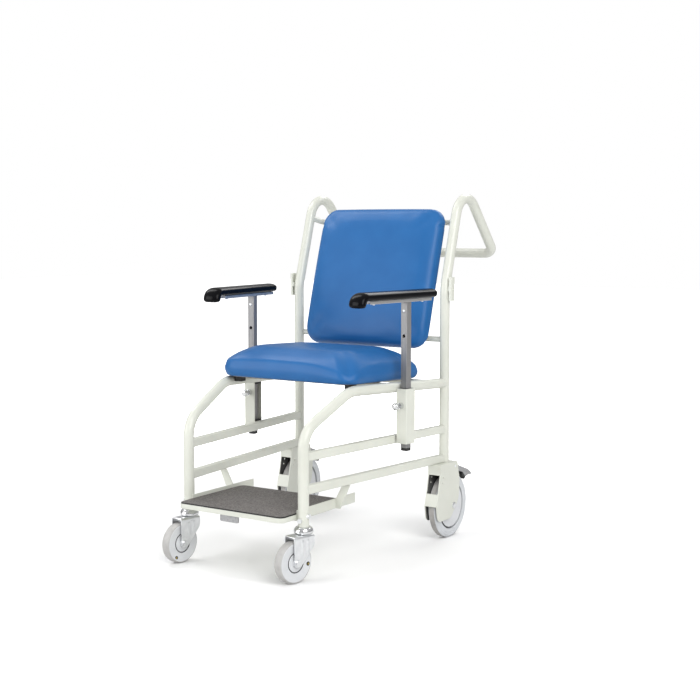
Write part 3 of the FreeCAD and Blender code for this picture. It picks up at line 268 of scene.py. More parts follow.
def panel_board():
    material = shader("panel_board", (0.20, 0.175, 0.15), roughness=0.6)
    grain = noise(material, scale=1.0, detail=5.0, stretch=(25.0, 400.0, 400.0))
    vary_color(material, grain, (0.15, 0.13, 0.11), (0.25, 0.22, 0.19))
    bump(material, grain, distance=0.2 * MM, strength=0.4)
    return material


def black_rubber():
    material = shader("black_rubber", (0.012, 0.012, 0.012), roughness=0.6)
    grain = noise(material, scale=500.0, detail=4.0)
    vary_color(material, grain, (0.008, 0.008, 0.008), (0.022, 0.022, 0.022))
    bump(material, grain, distance=0.15 * MM, strength=0.5)
    return material


def grey_casting():
    """Satin paint over a cast surface."""
    material = shader("grey_casting", (0.34, 0.34, 0.345), roughness=0.45, metallic=0.3)
    cast = noise(material, scale=260.0, detail=4.0)
    vary_color(material, cast, (0.28, 0.28, 0.285), (0.40, 0.40, 0.405))
    bump(material, cast, distance=0.3 * MM, strength=0.3)
    return material


def tyre_wall():
    """Side of the rear tyres: smoother and cooler than the tread."""
    material = shader("tyre_wall", (0.60, 0.62, 0.64), roughness=0.3)
    flow = noise(material, scale=40.0, detail=4.0)
    vary_color(material, flow, (0.56, 0.58, 0.60), (0.64, 0.66, 0.68))
    vary_roughness(material, flow, low=0.26, high=0.44)
    return material


def housing_painted_shade():
    """Painted shade: a dark colour for the inside of the wheel housings, where shade falls, with a
    faint uneven tone.
    """
    material = shader("housing_painted_shade", (0.10, 0.10, 0.095), roughness=0.6)
    tone = noise(material, scale=60.0, detail=4.0)
    vary_color(material, tone, (0.07, 0.07, 0.066), (0.13, 0.13, 0.124))
    return material


def yellow_plug():
    material = shader("yellow_plug", (0.30, 0.22, 0.04), roughness=0.5)
    tone = noise(material, scale=300.0, detail=3.0)
    vary_color(material, tone, (0.24, 0.18, 0.03), (0.36, 0.27, 0.05))
    return material


SLOT_MATERIALS = (
    cream_paint, blue_vinyl, black_pad, bare_aluminium, zinc_plate, bright_chrome, grey_tyre, grey_hub,
    grit_mat, panel_board, black_rubber, grey_casting,
)
MATERIAL = {make.__name__: make() for make in SLOT_MATERIALS}
CHANNEL_ALUMINIUM = channel_aluminium()
# Painted shade for the inner faces of the wheel housings.
HOUSING_PAINTED_SHADE = housing_painted_shade()
YELLOW_PLUG = yellow_plug()
TYRE_WALL = tyre_wall()
CASTOR_RUBBER = castor_rubber()
CASTOR_NYLON = nylon("castor_nylon", 0.66)
# Painted shade: a dark colour for the grooves in the wheel hubs, where shade falls.
GROOVE_PAINTED_SHADE = nylon("groove", 0.13)


# Mesh helpers

SMALLEST_R = 0.01 * MM       # of a turned ring, in place of a point


def piece(name, bm, body, slot, replaced=(), material=None, smooth_angle=40.0):
    """Turns a bmesh into a piece of the object that rides on a body."""
    mesh = bpy.data.meshes.new(name)
    bmesh.ops.recalc_face_normals(bm, faces=bm.faces)
    bm.to_mesh(mesh)
    bm.free()
    mesh.shade_smooth()
    mesh.set_sharp_from_angle(angle=math.radians(smooth_angle))
    mesh.materials.append(material or MATERIAL[slot])
    obj = bpy.data.objects.new(name, mesh)
    bpy.context.scene.collection.objects.link(obj)
    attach(obj, body)
    if replaced:
        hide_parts(*replaced)
    return obj


def smooth_profile(points, steps=4):
    """Rounds an open (radius, along) outline with a curve through the middles of its edges."""
    points = [Vector(p) for p in points]
    result = [points[0]]
    for before, corner, after in zip(points, points[1:], points[2:]):
        start = (before + corner) / 2.0
        end = (corner + after) / 2.0
        for i in range(steps + 1):
            t = i / steps
            result.append(start * (1 - t) ** 2 + corner * 2 * t * (1 - t) + end * t ** 2)
    result.append(points[-1])
    return result


def lathe(bm, profile, centre, axis, segments=72, wave=None):
    """Revolves (radius, along) points about an axis; wave(angle) scales the radius."""
    axis = Vector(axis).normalized()
    across = axis.orthogonal().normalized()
    third = axis.cross(across)
    rings = []
    for radius, along in profile:
        ring = []
        for i in range(segments):
            angle = 2 * math.pi * i / segments
            out = across * math.cos(angle) + third * math.sin(angle)
            reach = max(radius, SMALLEST_R) * (wave(angle) if wave else 1.0)
            ring.append(bm.verts.new(Vector(centre) + axis * along + out * reach))
        rings.append(ring)
    for one, two in zip(rings, rings[1:]):
        for i in range(segments):
            j = (i + 1) % segments
            bm.faces.new((one[i], one[j], two[j], two[i]))
    bm.faces.new(rings[0])
    bm.faces.new(rings[-1])


def loft(bm, loops):
    """Skins closed loops that have the same number of points, and closes both ends."""
    rings = [[bm.verts.new(point) for point in loop] for loop in loops]
    count = len(rings[0])
    for one, two in zip(rings, rings[1:]):
        for i in range(count):
            j = (i + 1) % count
            bm.faces.new((one[i], one[j], two[j], two[i]))
    bm.faces.new(rings[0])
    bm.faces.new(rings[-1])


def both_faces(half):
    """Closed wheel outline from one half of it, given from the bore outwards."""
    return [(r, x) for r, x in half] + [(r, -x) for r, x in reversed(half)]


def side_matrix(side):
    """From a side's own axes (out, along, up), with its origin under the leg, to the row frame."""
    along = Vector(JOINTS["index_pin_push_" + side]["axis"])
    out = along.cross(UP) * SIDES[side]
    foot = Vector(JOINTS["castor_swivel_" + side]["pos_m"])
    matrix = Matrix.Identity(4)
    for row in range(3):
        matrix[row][0] = out[row]
        matrix[row][1] = along[row]
        matrix[row][2] = UP[row]
    matrix.translation = Vector((foot.x, foot.y, 0.0))
    return matrix


def node_in_side(stem, side):
    """Box of a CAD node of one side, in the side's own axes."""
    obj = frame["nodes"][stem + "_" + side]
    matrix = side_matrix(side).inverted() @ obj.matrix_world
    points = [matrix @ vertex.co for vertex in obj.data.vertices]
    low = Vector([min(p[i] for p in points) for i in range(3)])
    high = Vector([max(p[i] for p in points) for i in range(3)])
    return low, high


# CAD nodes that stay: material, and softened edges on what is cut or folded from sheet

WELD_UNDER = 0.01 * MM
BEVEL_FROM = 35.0           # degrees between two faces
BEVEL = {                   # widths in mm
    "arm_socket": 1.0, "wheel_housing": 0.9, "footplate_runner": 0.7, "runner_hangers": 0.6,
    "footplate_tray": 0.6, "arm_post": 0.5, "arm_channel": 0.4, "castor_fork": 0.7,
    "brake_pedal": 1.2, "accessory_bars": 0.8, "back_brackets": 0.6, "pull_tab": 0.8,
    "seat_stops": 1.5, "arm_end_cap": 0.8, "brake_shoe": 1.0, "back_board": 1.0, "seat_board": 1.0,
}


def stem_of(name):
    for side in SIDES:
        name = name.removesuffix("_" + side)
    return name


def dress_node(name, obj):
    material = MATERIAL[SLOT_OF[name]]
    if stem_of(name) == "arm_channel":
        material = CHANNEL_ALUMINIUM
    for slot in obj.material_slots:
        slot.material = material
    width = BEVEL.get(stem_of(name), 0.0) * MM
    if width:
        weld = obj.modifiers.new("weld", "WELD")
        weld.merge_threshold = WELD_UNDER
        bevel = obj.modifiers.new("bevel", "BEVEL")
        bevel.width = width
        bevel.segments = 2
        bevel.limit_method = "ANGLE"
        bevel.angle_limit = math.radians(BEVEL_FROM)


for node_name, node_object in frame["nodes"].items():
    dress_node(node_name, node_object)


# Camera at the photograph's viewpoint

IMAGE_PX = 700
FOCAL_PX = 1300.0
CAMERA_AT = Vector((2.0373, FRONT_Y - 2.5854, 0.8831))
CAMERA_AZIMUTH = 33.54
CAMERA_PITCH = 4.66
HORIZON_RAISED_PX = 19.43


def make_camera():
    data = bpy.data.cameras.new("camera")
    data.sensor_width = 36.0
    data.lens = FOCAL_PX / IMAGE_PX * data.sensor_width
    data.shift_y = -HORIZON_RAISED_PX / IMAGE_PX
    camera = bpy.data.objects.new("camera", data)
    camera.location = CAMERA_AT
    camera.rotation_euler = (math.radians(90.0 - CAMERA_PITCH), 0.0, math.radians(CAMERA_AZIMUTH))
    bpy.context.scene.collection.objects.link(camera)
    bpy.context.scene.camera = camera


# Floor and light

FLOOR_HALF = 14.0
FLOOR_ALBEDO = 0.8
FLOOR_SEEN_NEAR = 0.93       # brightness of the floor where the camera sees it directly
FLOOR_SEEN_FAR = 2.6
FLOOR_NEAR = 0.9             # distances from the chair
FLOOR_FAR = 2.4
FLOOR_BELOW = 0.5 * MM
SKY_FILL = 0.6
HORIZON_TONE = (0.5, 0.5, 0.51, 1.0)
SKY_TONE = (1.0, 1.0, 1.0, 1.0)
SKY_FROM = 0.55              # upward part of the direction where the full tone begins
LIT_POINT = (0.0, 0.0, 0.45)


def floor_material():
    """Pale matt floor, over-exposed to white for the camera away from the shadows."""
    material = bpy.data.materials.new("floor")
    material.use_nodes = True
    nodes = material.node_tree.nodes
    nodes.remove(nodes["Principled BSDF"])
    matt = add(material, "ShaderNodeBsdfDiffuse")
    coordinates = add(material, "ShaderNodeTexCoord")
    away = add(material, "ShaderNodeVectorMath", operation="LENGTH")
    exposure = add(material, "ShaderNodeMapRange")
    exposure.inputs["From Min"].default_value = FLOOR_NEAR
    exposure.inputs["From Max"].default_value = FLOOR_FAR
    exposure.inputs["To Min"].default_value = FLOOR_SEEN_NEAR
    exposure.inputs["To Max"].default_value = FLOOR_SEEN_FAR
    path = add(material, "ShaderNodeLightPath")
    seen = add(material, "ShaderNodeMapRange", clamp=False)
    seen.inputs["To Min"].default_value = FLOOR_ALBEDO
    link(material, coordinates, "Object", away, "Vector")
    link(material, away, "Value", exposure, "Value")
    link(material, exposure, "Result", seen, "To Max")
    link(material, path, "Is Camera Ray", seen, "Value")
    link(material, seen, "Result", matt, "Color")
    link(material, matt, "BSDF", nodes["Material Output"], "Surface")
    return material


def make_floor():
    bm = bmesh.new()
    bmesh.ops.create_grid(bm, x_segments=1, y_segments=1, size=FLOOR_HALF)
    mesh = bpy.data.meshes.new("floor")
    bm.to_mesh(mesh)
    bm.free()
    mesh.materials.append(floor_material())
    floor = bpy.data.objects.new("floor", mesh)
    floor.location.z = -FLOOR_BELOW
    bpy.context.scene.collection.objects.link(floor)


def area_light(name, place, size, watts):
    """Rectangular light that is aimed at the chair."""
    data = bpy.data.lights.new(name, "AREA")
    data.shape = "RECTANGLE"
    data.size, data.size_y = size
    data.energy = watts
    light = bpy.data.objects.new(name, data)
    light.location = place
    aim = Vector(LIT_POINT) - Vector(place)
    light.rotation_euler = aim.to_track_quat("-Z", "Y").to_euler()
    bpy.context.scene.collection.objects.link(light)


def make_world():
    """A soft studio: white to the camera, and for light bright above and dim at the horizon."""
    world = bpy.data.worlds.new("studio")
    world.use_nodes = True
    tree = world.node_tree
    plain = tree.nodes["Background"]
    plain.inputs["Color"].default_value = SKY_TONE
    plain.inputs["Strength"].default_value = 1.0
    sky = tree.nodes.new("ShaderNodeBackground")
    sky.inputs["Strength"].default_value = SKY_FILL
    coordinates = tree.nodes.new("ShaderNodeTexCoord")
    split = tree.nodes.new("ShaderNodeSeparateXYZ")
    ramp = tree.nodes.new("ShaderNodeValToRGB")
    ramp.color_ramp.elements[0].position = 0.0
    ramp.color_ramp.elements[0].color = HORIZON_TONE
    ramp.color_ramp.elements[1].position = SKY_FROM
    ramp.color_ramp.elements[1].color = SKY_TONE
    path = tree.nodes.new("ShaderNodeLightPath")
    choose = tree.nodes.new("ShaderNodeMixShader")
    output = tree.nodes["World Output"]
    tree.links.new(coordinates.outputs["Generated"], split.inputs["Vector"])
    tree.links.new(split.outputs["Z"], ramp.inputs["Fac"])
    tree.links.new(ramp.outputs["Color"], sky.inputs["Color"])
    tree.links.new(path.outputs["Is Camera Ray"], choose.inputs["Fac"])
    tree.links.new(sky.outputs["Background"], choose.inputs[1])
    tree.links.new(plain.outputs["Background"], choose.inputs[2])
    tree.links.new(choose.outputs["Shader"], output.inputs["Surface"])
    bpy.context.scene.world = world


def make_light():
    area_light("key", (2.7, -1.9, 2.4), (2.4, 2.4), 98.0)
    area_light("fill", (-1.95, -2.95, 1.2), (2.2, 1.8), 46.0)
    area_light("top", (-1.6, -0.1, 2.8), (0.8, 2.0), 28.0)
    area_light("rear", (0.05, 2.5, 2.75), (2.6, 0.8), 34.0)


# Upholstery: each pad is drawn flat (across, deep, thick) and then set in its place

SEAT_AT = Vector((0.0, FRONT_Y + 165 * MM, 470 * MM))
SEAT_TILT = -2.25
BACK_AT = Vector((0.0, FRONT_Y + 590 * MM, 703 * MM))
BACK_TURN = 90.0 - 16.5
PAD_VOXEL = 4.2 * MM
PAD_SHRINK = 1.5 * MM
PAD_OUT = 3.5 * MM
CLOTH_FRAMES = 20
MOVE_ROUNDS = 24
OUTLINE_POINTS = 232
PAD_PRESSURE = 4.0
HELD_HEIGHT = 6.0 * MM          # the cover is held up to here over its lower edge
BOARD_PLAY = 1.0 * MM
HEM_INSET = 6.0 * MM            # the cover turns in under the pad
HEM_ROUND = 1.5 * MM
HEM_RISE = 3.0 * MM
WALL_FOOT = 8.0 * MM
WALL_STEPS = 4
RIM_STEPS = 6
DOME_STEPS = 16
CLOSING_STEPS = (0.6, 0.25, 0.03)
CREASE_REACH = 4.0              # widths
LIP_FALL = 0.7
# How far the cover is drawn down at each corner, by (sitter's left, front or lower end)
SEAT_DROPS = {
    (True, True): 28 * MM, (False, True): 6 * MM,
    (True, False): 16 * MM, (False, False): 16 * MM,
}
BACK_DROPS = dict.fromkeys(SEAT_DROPS, 5 * MM)
# Creases as points (across, deep, thick) in mm, on the left, and depth, width and lip
SEAT_CREASE = ((219, 276, 4), (219, 278, 34), (206, 272, 60), (180, 258, 74))
SEAT_CREASE_SIZE = (5.0 * MM, 6 * MM, 1.6 * MM)
BACK_CREASE = ((208, 190, -30), (206, 187, -8), (196, 180, 6))
BACK_CREASE_SIZE = (3.0 * MM, 6 * MM, 0.6 * MM)


def outline(half_width, low, high, corner):
    """Rounded rectangle, evenly spaced, with how near to a corner each point is (0 to 1)."""
    w, r = half_width, corner
    centres = ((w - r, low + r, -90), (w - r, high - r, 0), (-w + r, high - r, 90),
               (-w + r, low + r, 180))
    long_side = high - low - 2 * r
    sides = (long_side, 2 * w - 2 * r, long_side, 2 * w - 2 * r)
    arc = math.pi * r / 2.0
    total = sum(sides) + 4 * arc
    points = []
    for i in range(OUTLINE_POINTS):
        run = total * i / OUTLINE_POINTS
        for (cx, cy, turn), side in zip(centres, sides):
            if run < arc + side:
                break
            run -= arc + side
        bend = math.radians(turn) + min(run / arc, 1.0) * math.pi / 2.0
        out = Vector((math.cos(bend), math.sin(bend)))
        on = Vector((-math.sin(bend), math.cos(bend)))
        point = Vector((cx, cy)) + out * r + on * max(run - arc, 0.0)
        share = (run - arc / 2.0) / (side + arc)
        points.append((point, abs(2.0 * (share % 1.0) - 1.0)))
    return points


def pad_loops(shape):
    """Closed loops up a boxed pad, from the hollow for its board to the top of the crown."""
    base, crown, rho = shape["base"], shape["crown"], shape["shoulder_r"]
    spread, slope, hollow = shape["spread"], shape["slope"], shape["board_inset"] - BOARD_PLAY
    roof = base + shape["board_depth"]
    turn = math.atan2(1.0, slope)

    def edge(p, corner):
        drop = shape["drops"][(p.x > 0, p.y < (shape["low"] + shape["high"]) / 2.0)]
        return base + shape["edge"] - drop * corner ** shape["drop_power"]

    def ring(inset, height, corner=shape["corner"]):
        ends = shape["low"] + inset, shape["high"] - inset
        points = outline(shape["half_width"] - inset, *ends, corner)
        return [Vector((p.x, p.y, height(p, c))) for p, c in points]

    def shrunk(loop, scale):
        middle = Vector((0.0, (shape["low"] + shape["high"]) / 2.0, loop[0].z))
        return [middle + (v - middle) * scale for v in loop]

    def rim(angle):
        return ring(rho * (1 - math.cos(angle)), lambda p, c: edge(p, c) - rho + rho * math.sin(angle))

    def dome(share):
        start = rho * (1 - math.cos(turn))
        run = spread - start

        def height(p, c):
            foot = edge(p, c * (1 - share)) - rho + rho * math.sin(turn)
            power = slope * run / (crown - foot)
            return foot + (crown - foot) * (1 - (1 - share) ** power)
        return ring(start + run * share, height)

    inner_corner = shape["corner"] - hollow
    ceiling = ring(hollow, lambda p, c: roof, inner_corner)
    loops = [shrunk(ceiling, CLOSING_STEPS[-1]), ceiling]
    loops.append(ring(hollow, lambda p, c: base, inner_corner))
    loops.append(ring(HEM_INSET, lambda p, c: base))
    loops.append(ring(HEM_ROUND, lambda p, c: base + HEM_RISE))
    wall = base + WALL_FOOT
    for step in range(WALL_STEPS + 1):
        share = step / WALL_STEPS
        loops.append(ring(-shape["bulge"] * math.sin(math.pi * share),
                          lambda p, c: wall + share * (edge(p, c) - rho - wall)))
    loops += [rim(turn * step / RIM_STEPS) for step in range(1, RIM_STEPS + 1)]
    loops += [dome(step / DOME_STEPS) for step in range(1, DOME_STEPS + 1)]
    loops += [shrunk(loops[-1], scale) for scale in CLOSING_STEPS]
    return loops


def apply_modifiers(obj):
    bpy.context.view_layer.update()
    evaluated = obj.evaluated_get(bpy.context.evaluated_depsgraph_get())
    mesh = bpy.data.meshes.new_from_object(evaluated)
    obj.modifiers.clear()
    obj.data = mesh


def evened(mesh, values, rounds):
    """Averages a value over the mesh with its neighbours, a number of times."""
    near = [[] for vertex in mesh.vertices]
    for edge in mesh.edges:
        a, b = edge.vertices
        near[a].append(b)
        near[b].append(a)
    for _ in range(rounds):
        values = [0.5 * own + 0.5 * sum(values[k] for k in around) / max(1, len(around))
                  for own, around in zip(values, near)]
    return values


def swell(obj, held):
    """Lets the pad swell as cloth that is held up to a height, and limits and evens the movement."""
    start = [vertex.co.copy() for vertex in obj.data.vertices]
    normals = [vertex.normal.copy() for vertex in obj.data.vertices]
    group = obj.vertex_groups.new(name="held")
    group.add([i for i, co in enumerate(start) if co.z < held], 1.0, "REPLACE")
    cloth = obj.modifiers.new("cloth", "CLOTH")
    cloth.settings.use_pressure = True
    cloth.settings.uniform_pressure_force = PAD_PRESSURE
    cloth.settings.vertex_group_mass = "held"
    cloth.settings.effector_weights.gravity = 0.0
    scene = bpy.context.scene
    for step in range(1, CLOTH_FRAMES + 1):
        scene.frame_set(step)
    apply_modifiers(obj)
    scene.frame_set(1)
    moves = []
    for vertex, before, normal in zip(obj.data.vertices, start, normals):
        moves.append(max(0.0, min(PAD_OUT, (vertex.co - before).dot(normal))))
    moves = evened(obj.data, moves, MOVE_ROUNDS)
    for vertex, before, normal, move in zip(obj.data.vertices, start, normals, moves):
        vertex.co = before + normal * move


def crease(obj, path, depth, width, lip):
    """Draws a groove with a soft lip along a path of points on the pad, fading to its far end."""
    path = [Vector(p) for p in path]
    for vertex in obj.data.vertices:
        nearest = None
        for start, (a, b) in enumerate(zip(path, path[1:])):
            run = b - a
            share = max(0.0, min(1.0, (vertex.co - a).dot(run) / run.length_squared))
            gap = (vertex.co - a - run * share).length
            if nearest is None or gap < nearest:
                nearest = gap
                done = (start + share) / (len(path) - 1)
        if nearest < CREASE_REACH * width:
            near = (nearest / width) ** 2
            sink = depth * math.exp(-near) - lip * near * math.exp(-LIP_FALL * near)
            vertex.co -= vertex.normal * sink * (1.0 - done * done)


def upholster(name, node, shape, place, crease_path, crease_size):
    """Pad from its drawn form: an even mesh, swollen as cloth, creased at both sides and placed."""
    bm = bmesh.new()
    loft(bm, pad_loops(shape))
    bmesh.ops.recalc_face_normals(bm, faces=bm.faces)
    bm.normal_update()
    for vertex in bm.verts:
        vertex.co -= vertex.normal * PAD_SHRINK
    mesh = bpy.data.meshes.new(name)
    bm.to_mesh(mesh)
    bm.free()
    obj = bpy.data.objects.new(name, mesh)
    bpy.context.scene.collection.objects.link(obj)
    remesh = obj.modifiers.new("remesh", "REMESH")
    remesh.mode = "VOXEL"
    remesh.voxel_size = PAD_VOXEL
    apply_modifiers(obj)
    even = obj.modifiers.new("even", "SMOOTH")
    even.iterations = 2
    apply_modifiers(obj)
    swell(obj, shape["base"] + HELD_HEIGHT)
    for sign in SIDES.values():
        crease(obj, [(sign * x * MM, y * MM, z * MM) for x, y, z in crease_path], *crease_size)
    obj.data.transform(place)
    obj.data.shade_smooth()
    obj.data.materials.clear()
    obj.data.materials.append(MATERIAL["blue_vinyl"])
    smooth = obj.modifiers.new("smooth", "SMOOTH")
    smooth.iterations = 1
    finer = obj.modifiers.new("finer", "SUBSURF")
    finer.levels = 1
    finer.render_levels = 1
    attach(obj, "frame")
    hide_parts(node)


def seat_pad():
    shape = {
        "half_width": 216 * MM, "low": -1 * MM, "high": 365 * MM, "corner": 44 * MM,
        "base": 1 * MM, "crown": 87 * MM, "shoulder_r": 17 * MM, "slope": 0.9, "spread": 140 * MM,
        "edge": 60 * MM, "drop_power": 3.0, "drops": SEAT_DROPS, "bulge": 3 * MM,
        "board_inset": 17 * MM, "board_depth": 10.6 * MM,
    }
    place = Matrix.Translation(SEAT_AT) @ Matrix.Rotation(math.radians(SEAT_TILT), 4, "X")
    upholster("seat_pad", "seat_cushion", shape, place, SEAT_CREASE, SEAT_CREASE_SIZE)


def back_pad():
    shape = {
        "half_width": 207 * MM, "low": -170 * MM, "high": 240 * MM, "corner": 46 * MM,
        "base": -34 * MM, "crown": 19 * MM, "shoulder_r": 26 * MM, "slope": 0.2, "spread": 150 * MM,
        "edge": 45 * MM, "drop_power": 3.0, "drops": BACK_DROPS, "bulge": 1 * MM,
        "board_inset": 8 * MM, "board_depth": 8.6 * MM,
    }
    place = Matrix.Translation(BACK_AT) @ Matrix.Rotation(math.radians(BACK_TURN), 4, "X")
    upholster("back_pad", "back_cushion", shape, place, BACK_CREASE, BACK_CREASE_SIZE)


# Armrests

PAD_SEGMENTS = 40
PAD_STEPS = 48
NOSE_STEPS = 20
PAD_SEAT_GAP = 0.2 * MM         # between the pad and its channel
NOSE_BEND_R = 21 * MM           # along the middle of the pad
NOSE_TIP = 9 * MM
PAD_TAIL = 15 * MM
TAIL_CROWDING = 1.7             # stations stand closer together at the tail
END_POWER = 2.4                 # how late the pad narrows to its ends
END_WIDTH = 0.5                 # shares of the width and the thickness that are left there
END_THICKNESS = 0.35
TOP_POWER = 2.2                 # 2 is round, more is squarer
UNDER_POWER = 3.4


def arm_pad_path(low, high, half_thick):
    """Stations from the tail to the nose: (along, up), outward direction, distance to the tip."""
    middle = high.z - half_thick
    bend_y = low.y + NOSE_BEND_R + half_thick
    drop = middle - NOSE_BEND_R - low.z
    arc = NOSE_BEND_R * math.pi / 2.0
    stations = []
    for i in range(PAD_STEPS):
        y = high.y + (bend_y - high.y) * (i / PAD_STEPS) ** TAIL_CROWDING
        stations.append(((y, middle), (0.0, 1.0), y - bend_y + arc + drop))
    for i in range(NOSE_STEPS + 1):
        turn = math.pi / 2.0 * i / NOSE_STEPS
        place = (bend_y - NOSE_BEND_R * math.sin(turn), middle - NOSE_BEND_R * (1 - math.cos(turn)))
        stations.append((place, (-math.sin(turn), math.cos(turn)), arc * (1 - i / NOSE_STEPS) + drop))
    for i in range(1, NOSE_STEPS + 1):
        left = drop * (1 - i / NOSE_STEPS) ** 2
        stations.append(((bend_y - NOSE_BEND_R, low.z + left), (-1.0, 0.0), left))
    return stations


def arm_pad_loops(low, high, underside):
    """Sections of the pad from its rounded tail to its turned-down nose."""
    middle = (low.x + high.x) / 2.0
    half = (high.x - low.x) / 2.0
    half_thick = (high.z - underside) / 2.0
    loops = []
    for (y, z), (out_y, out_z), to_tip in arm_pad_path(low, high, half_thick):
        tail = max(0.0, (y - (high.y - PAD_TAIL)) / PAD_TAIL)
        tip = max(0.0, 1.0 - to_tip / NOSE_TIP)
        shut = math.sqrt(max(0.0, 1.0 - max(tail, tip) ** END_POWER))
        width = half * (END_WIDTH + (1.0 - END_WIDTH) * shut)
        reach = half_thick * (END_THICKNESS + (1.0 - END_THICKNESS) * shut)
        loop = []
        for k in range(PAD_SEGMENTS):
            angle = 2 * math.pi * k / PAD_SEGMENTS
            power = 2.0 / (TOP_POWER if math.sin(angle) > 0 else UNDER_POWER)
            x = math.copysign(abs(math.cos(angle)) ** power, math.cos(angle))
            up = math.copysign(abs(math.sin(angle)) ** power, math.sin(angle))
            loop.append(Vector((middle + width * x, y + out_y * reach * up, z + out_z * reach * up)))
        loops.append(loop)
    return loops


def arm_pads():
    for side in SIDES:
        low, high = node_in_side("arm_pad", side)
        channel_top = node_in_side("arm_channel", side)[1].z
        bm = bmesh.new()
        loft(bm, arm_pad_loops(low, high, channel_top + PAD_SEAT_GAP))
        bm.transform(side_matrix(side))
        pad = piece("arm_cover_" + side, bm, "arm_" + side, "black_pad", ("arm_pad_" + side,))


# Wheels

def wheel_place(joint):
    return Vector(JOINTS[joint]["pos_m"]), Vector(JOINTS[joint]["axis"])


def two_tone(obj, material, test):
    """Gives a second material to the faces whose middle passes a test."""
    obj.data.materials.append(material)
    for polygon in obj.data.polygons:
        if test(polygon.center):
            polygon.material_index = 1


def in_groove(offset, axis, inner, outer, depth):
    along = offset.dot(axis)
    radius = (offset - axis * along).length
    return inner < radius < outer and abs(along) < depth


CASTOR_R = JOINTS["castor_roll_left"]["pos_m"][2]
CASTOR_HALF = 13 * MM
REAR_R = JOINTS["rear_roll_left"]["pos_m"][2]
REAR_HALF = 13.5 * MM
REAR_SEGMENTS = 96
WHEEL_SMOOTH = 30.0             # degrees, above which an edge is sharp
CASTOR_BOSS = (4.2 * MM, 10 * MM, 15.6 * MM, 0.2 * MM)       # bore, radius, half length, flare
REAR_BOSS = (6.2 * MM, 17 * MM, 16.6 * MM, 0.4 * MM)
BOSS_CHAMFER = 0.4 * MM
BOSS_FOOT = 0.9                 # shares of the half width: foot of the boss, groove, tread
GROOVE_BELOW = 0.8
TREAD_SHARE = 0.6
# Half sections of the wheels, as shares of the radius and of the half width
CASTOR_TYRE = ((0.80, 0.3), (0.80, 0.8), (0.925, 0.94), (0.955, 0.95), (0.985, 0.8), (1.0, 0.5))
CASTOR_DISC = ((0.24, 0.86), (0.425, 0.86), (0.44, 0.83), (0.445, 0.6), (0.495, 0.6), (0.50, 0.86),
               (0.52, 0.90), (0.70, 0.88), (0.84, 0.96), (0.885, 1.0), (0.915, 1.0), (0.93, 0.955),
               (0.92, 0.5))
CASTOR_GROOVE = (0.441, 0.499)
REAR_TYRE = ((0.735, 0.3), (0.74, 0.9), (0.765, 0.965), (0.85, 0.97), (0.868, 0.93), (0.878, 0.90),
             (0.888, 0.94), (0.905, 0.985), (0.93, 0.96), (0.985, 0.72), (1.0, 0.58))
REAR_DISC = ((0.25, 0.86), (0.66, 0.86), (0.68, 0.84), (0.685, 0.35), (0.72, 0.35), (0.735, 0.35),
             (0.742, 0.3))
REAR_GROOVE = (0.681, 0.74)


def in_size(section, r, w):
    return [(radius * r, along * w) for radius, along in section]


def boss(bore, radius, half, flare, w):
    """Half section of a hub's boss, with a small chamfer, down to the disc."""
    edge = BOSS_CHAMFER
    return [(bore, half), (radius - edge, half), (radius, half - edge), (radius + flare, BOSS_FOOT * w)]


def castor_wheels():
    r, w = CASTOR_R, CASTOR_HALF
    tyre = both_faces(in_size(CASTOR_TYRE, r, w))
    hub = both_faces(boss(*CASTOR_BOSS, w) + in_size(CASTOR_DISC, r, w))
    for side in SIDES:
        centre, axis = wheel_place("castor_roll_" + side)
        body = "castor_wheel_" + side
        bm = bmesh.new()
        lathe(bm, tyre, centre, axis)
        piece("castor_tread_" + side, bm, body, "grey_tyre", ("castor_tyre_" + side,),
              CASTOR_RUBBER, WHEEL_SMOOTH)
        bm = bmesh.new()
        lathe(bm, hub, centre, axis)
        disc = piece("castor_disc_" + side, bm, body, "grey_hub", ("castor_hub_" + side,),
                     CASTOR_NYLON, WHEEL_SMOOTH)
        # Painted shade: the faces in the hub's groove take a dark colour.
        inner, outer = (share * r for share in CASTOR_GROOVE)
        two_tone(disc, GROOVE_PAINTED_SHADE, lambda co: in_groove(co - centre, axis, inner, outer, GROOVE_BELOW * w))


def rear_wheels():
    r, w = REAR_R, REAR_HALF
    tyre = both_faces(in_size(REAR_TYRE, r, w))
    hub = both_faces(boss(*REAR_BOSS, w) + in_size(REAR_DISC, r, w))
    for side in SIDES:
        centre, axis = wheel_place("rear_roll_" + side)
        body = "rear_wheel_" + side
        bm = bmesh.new()
        lathe(bm, tyre, centre, axis, REAR_SEGMENTS)
        tread = piece("rear_tread_" + side, bm, body, "grey_tyre", ("rear_tyre_" + side,),
                      smooth_angle=WHEEL_SMOOTH)
        two_tone(tread, TYRE_WALL, lambda co: abs((co - centre).dot(axis)) > TREAD_SHARE * w)
        bm = bmesh.new()
        lathe(bm, hub, centre, axis, REAR_SEGMENTS)
        disc = piece("rear_disc_" + side, bm, body, "grey_hub", ("rear_hub_" + side,),
                     smooth_angle=WHEEL_SMOOTH)
        # Painted shade: the faces in the hub's groove take a dark colour.
        inner, outer = (share * r for share in REAR_GROOVE)
        two_tone(disc, GROOVE_PAINTED_SHADE, lambda co: in_groove(co - centre, axis, inner, outer, GROOVE_BELOW * w))


def housing_insides():
    """Painted shade on the faces of the wheel housings that look towards the wheel."""
    for side in SIDES:
        centre = wheel_place("rear_roll_" + side)[0]
        housing = frame["nodes"]["wheel_housing_" + side]
        housing.data.materials.append(HOUSING_PAINTED_SHADE)
        for polygon in housing.data.polygons:
            inwards = centre - housing.matrix_world @ polygon.center
            if (housing.matrix_world.to_3x3() @ polygon.normal).dot(inwards) > 0.0:
                polygon.material_index = 1


PLUG_R = 5.4 * MM
PLUG_DOT_R = 2.5 * MM
PLUG_CORE = 0.1 * MM
PLUG_SUNK = 0.80 * CASTOR_HALF
PLUG_PROUD = 0.985 * CASTOR_HALF
PLUG_SEGMENTS = 24
PLUG_PLACE = {"left": (0.77, -0.17), "right": (-0.45, -0.68)}      # to the rear and up, in wheel radii


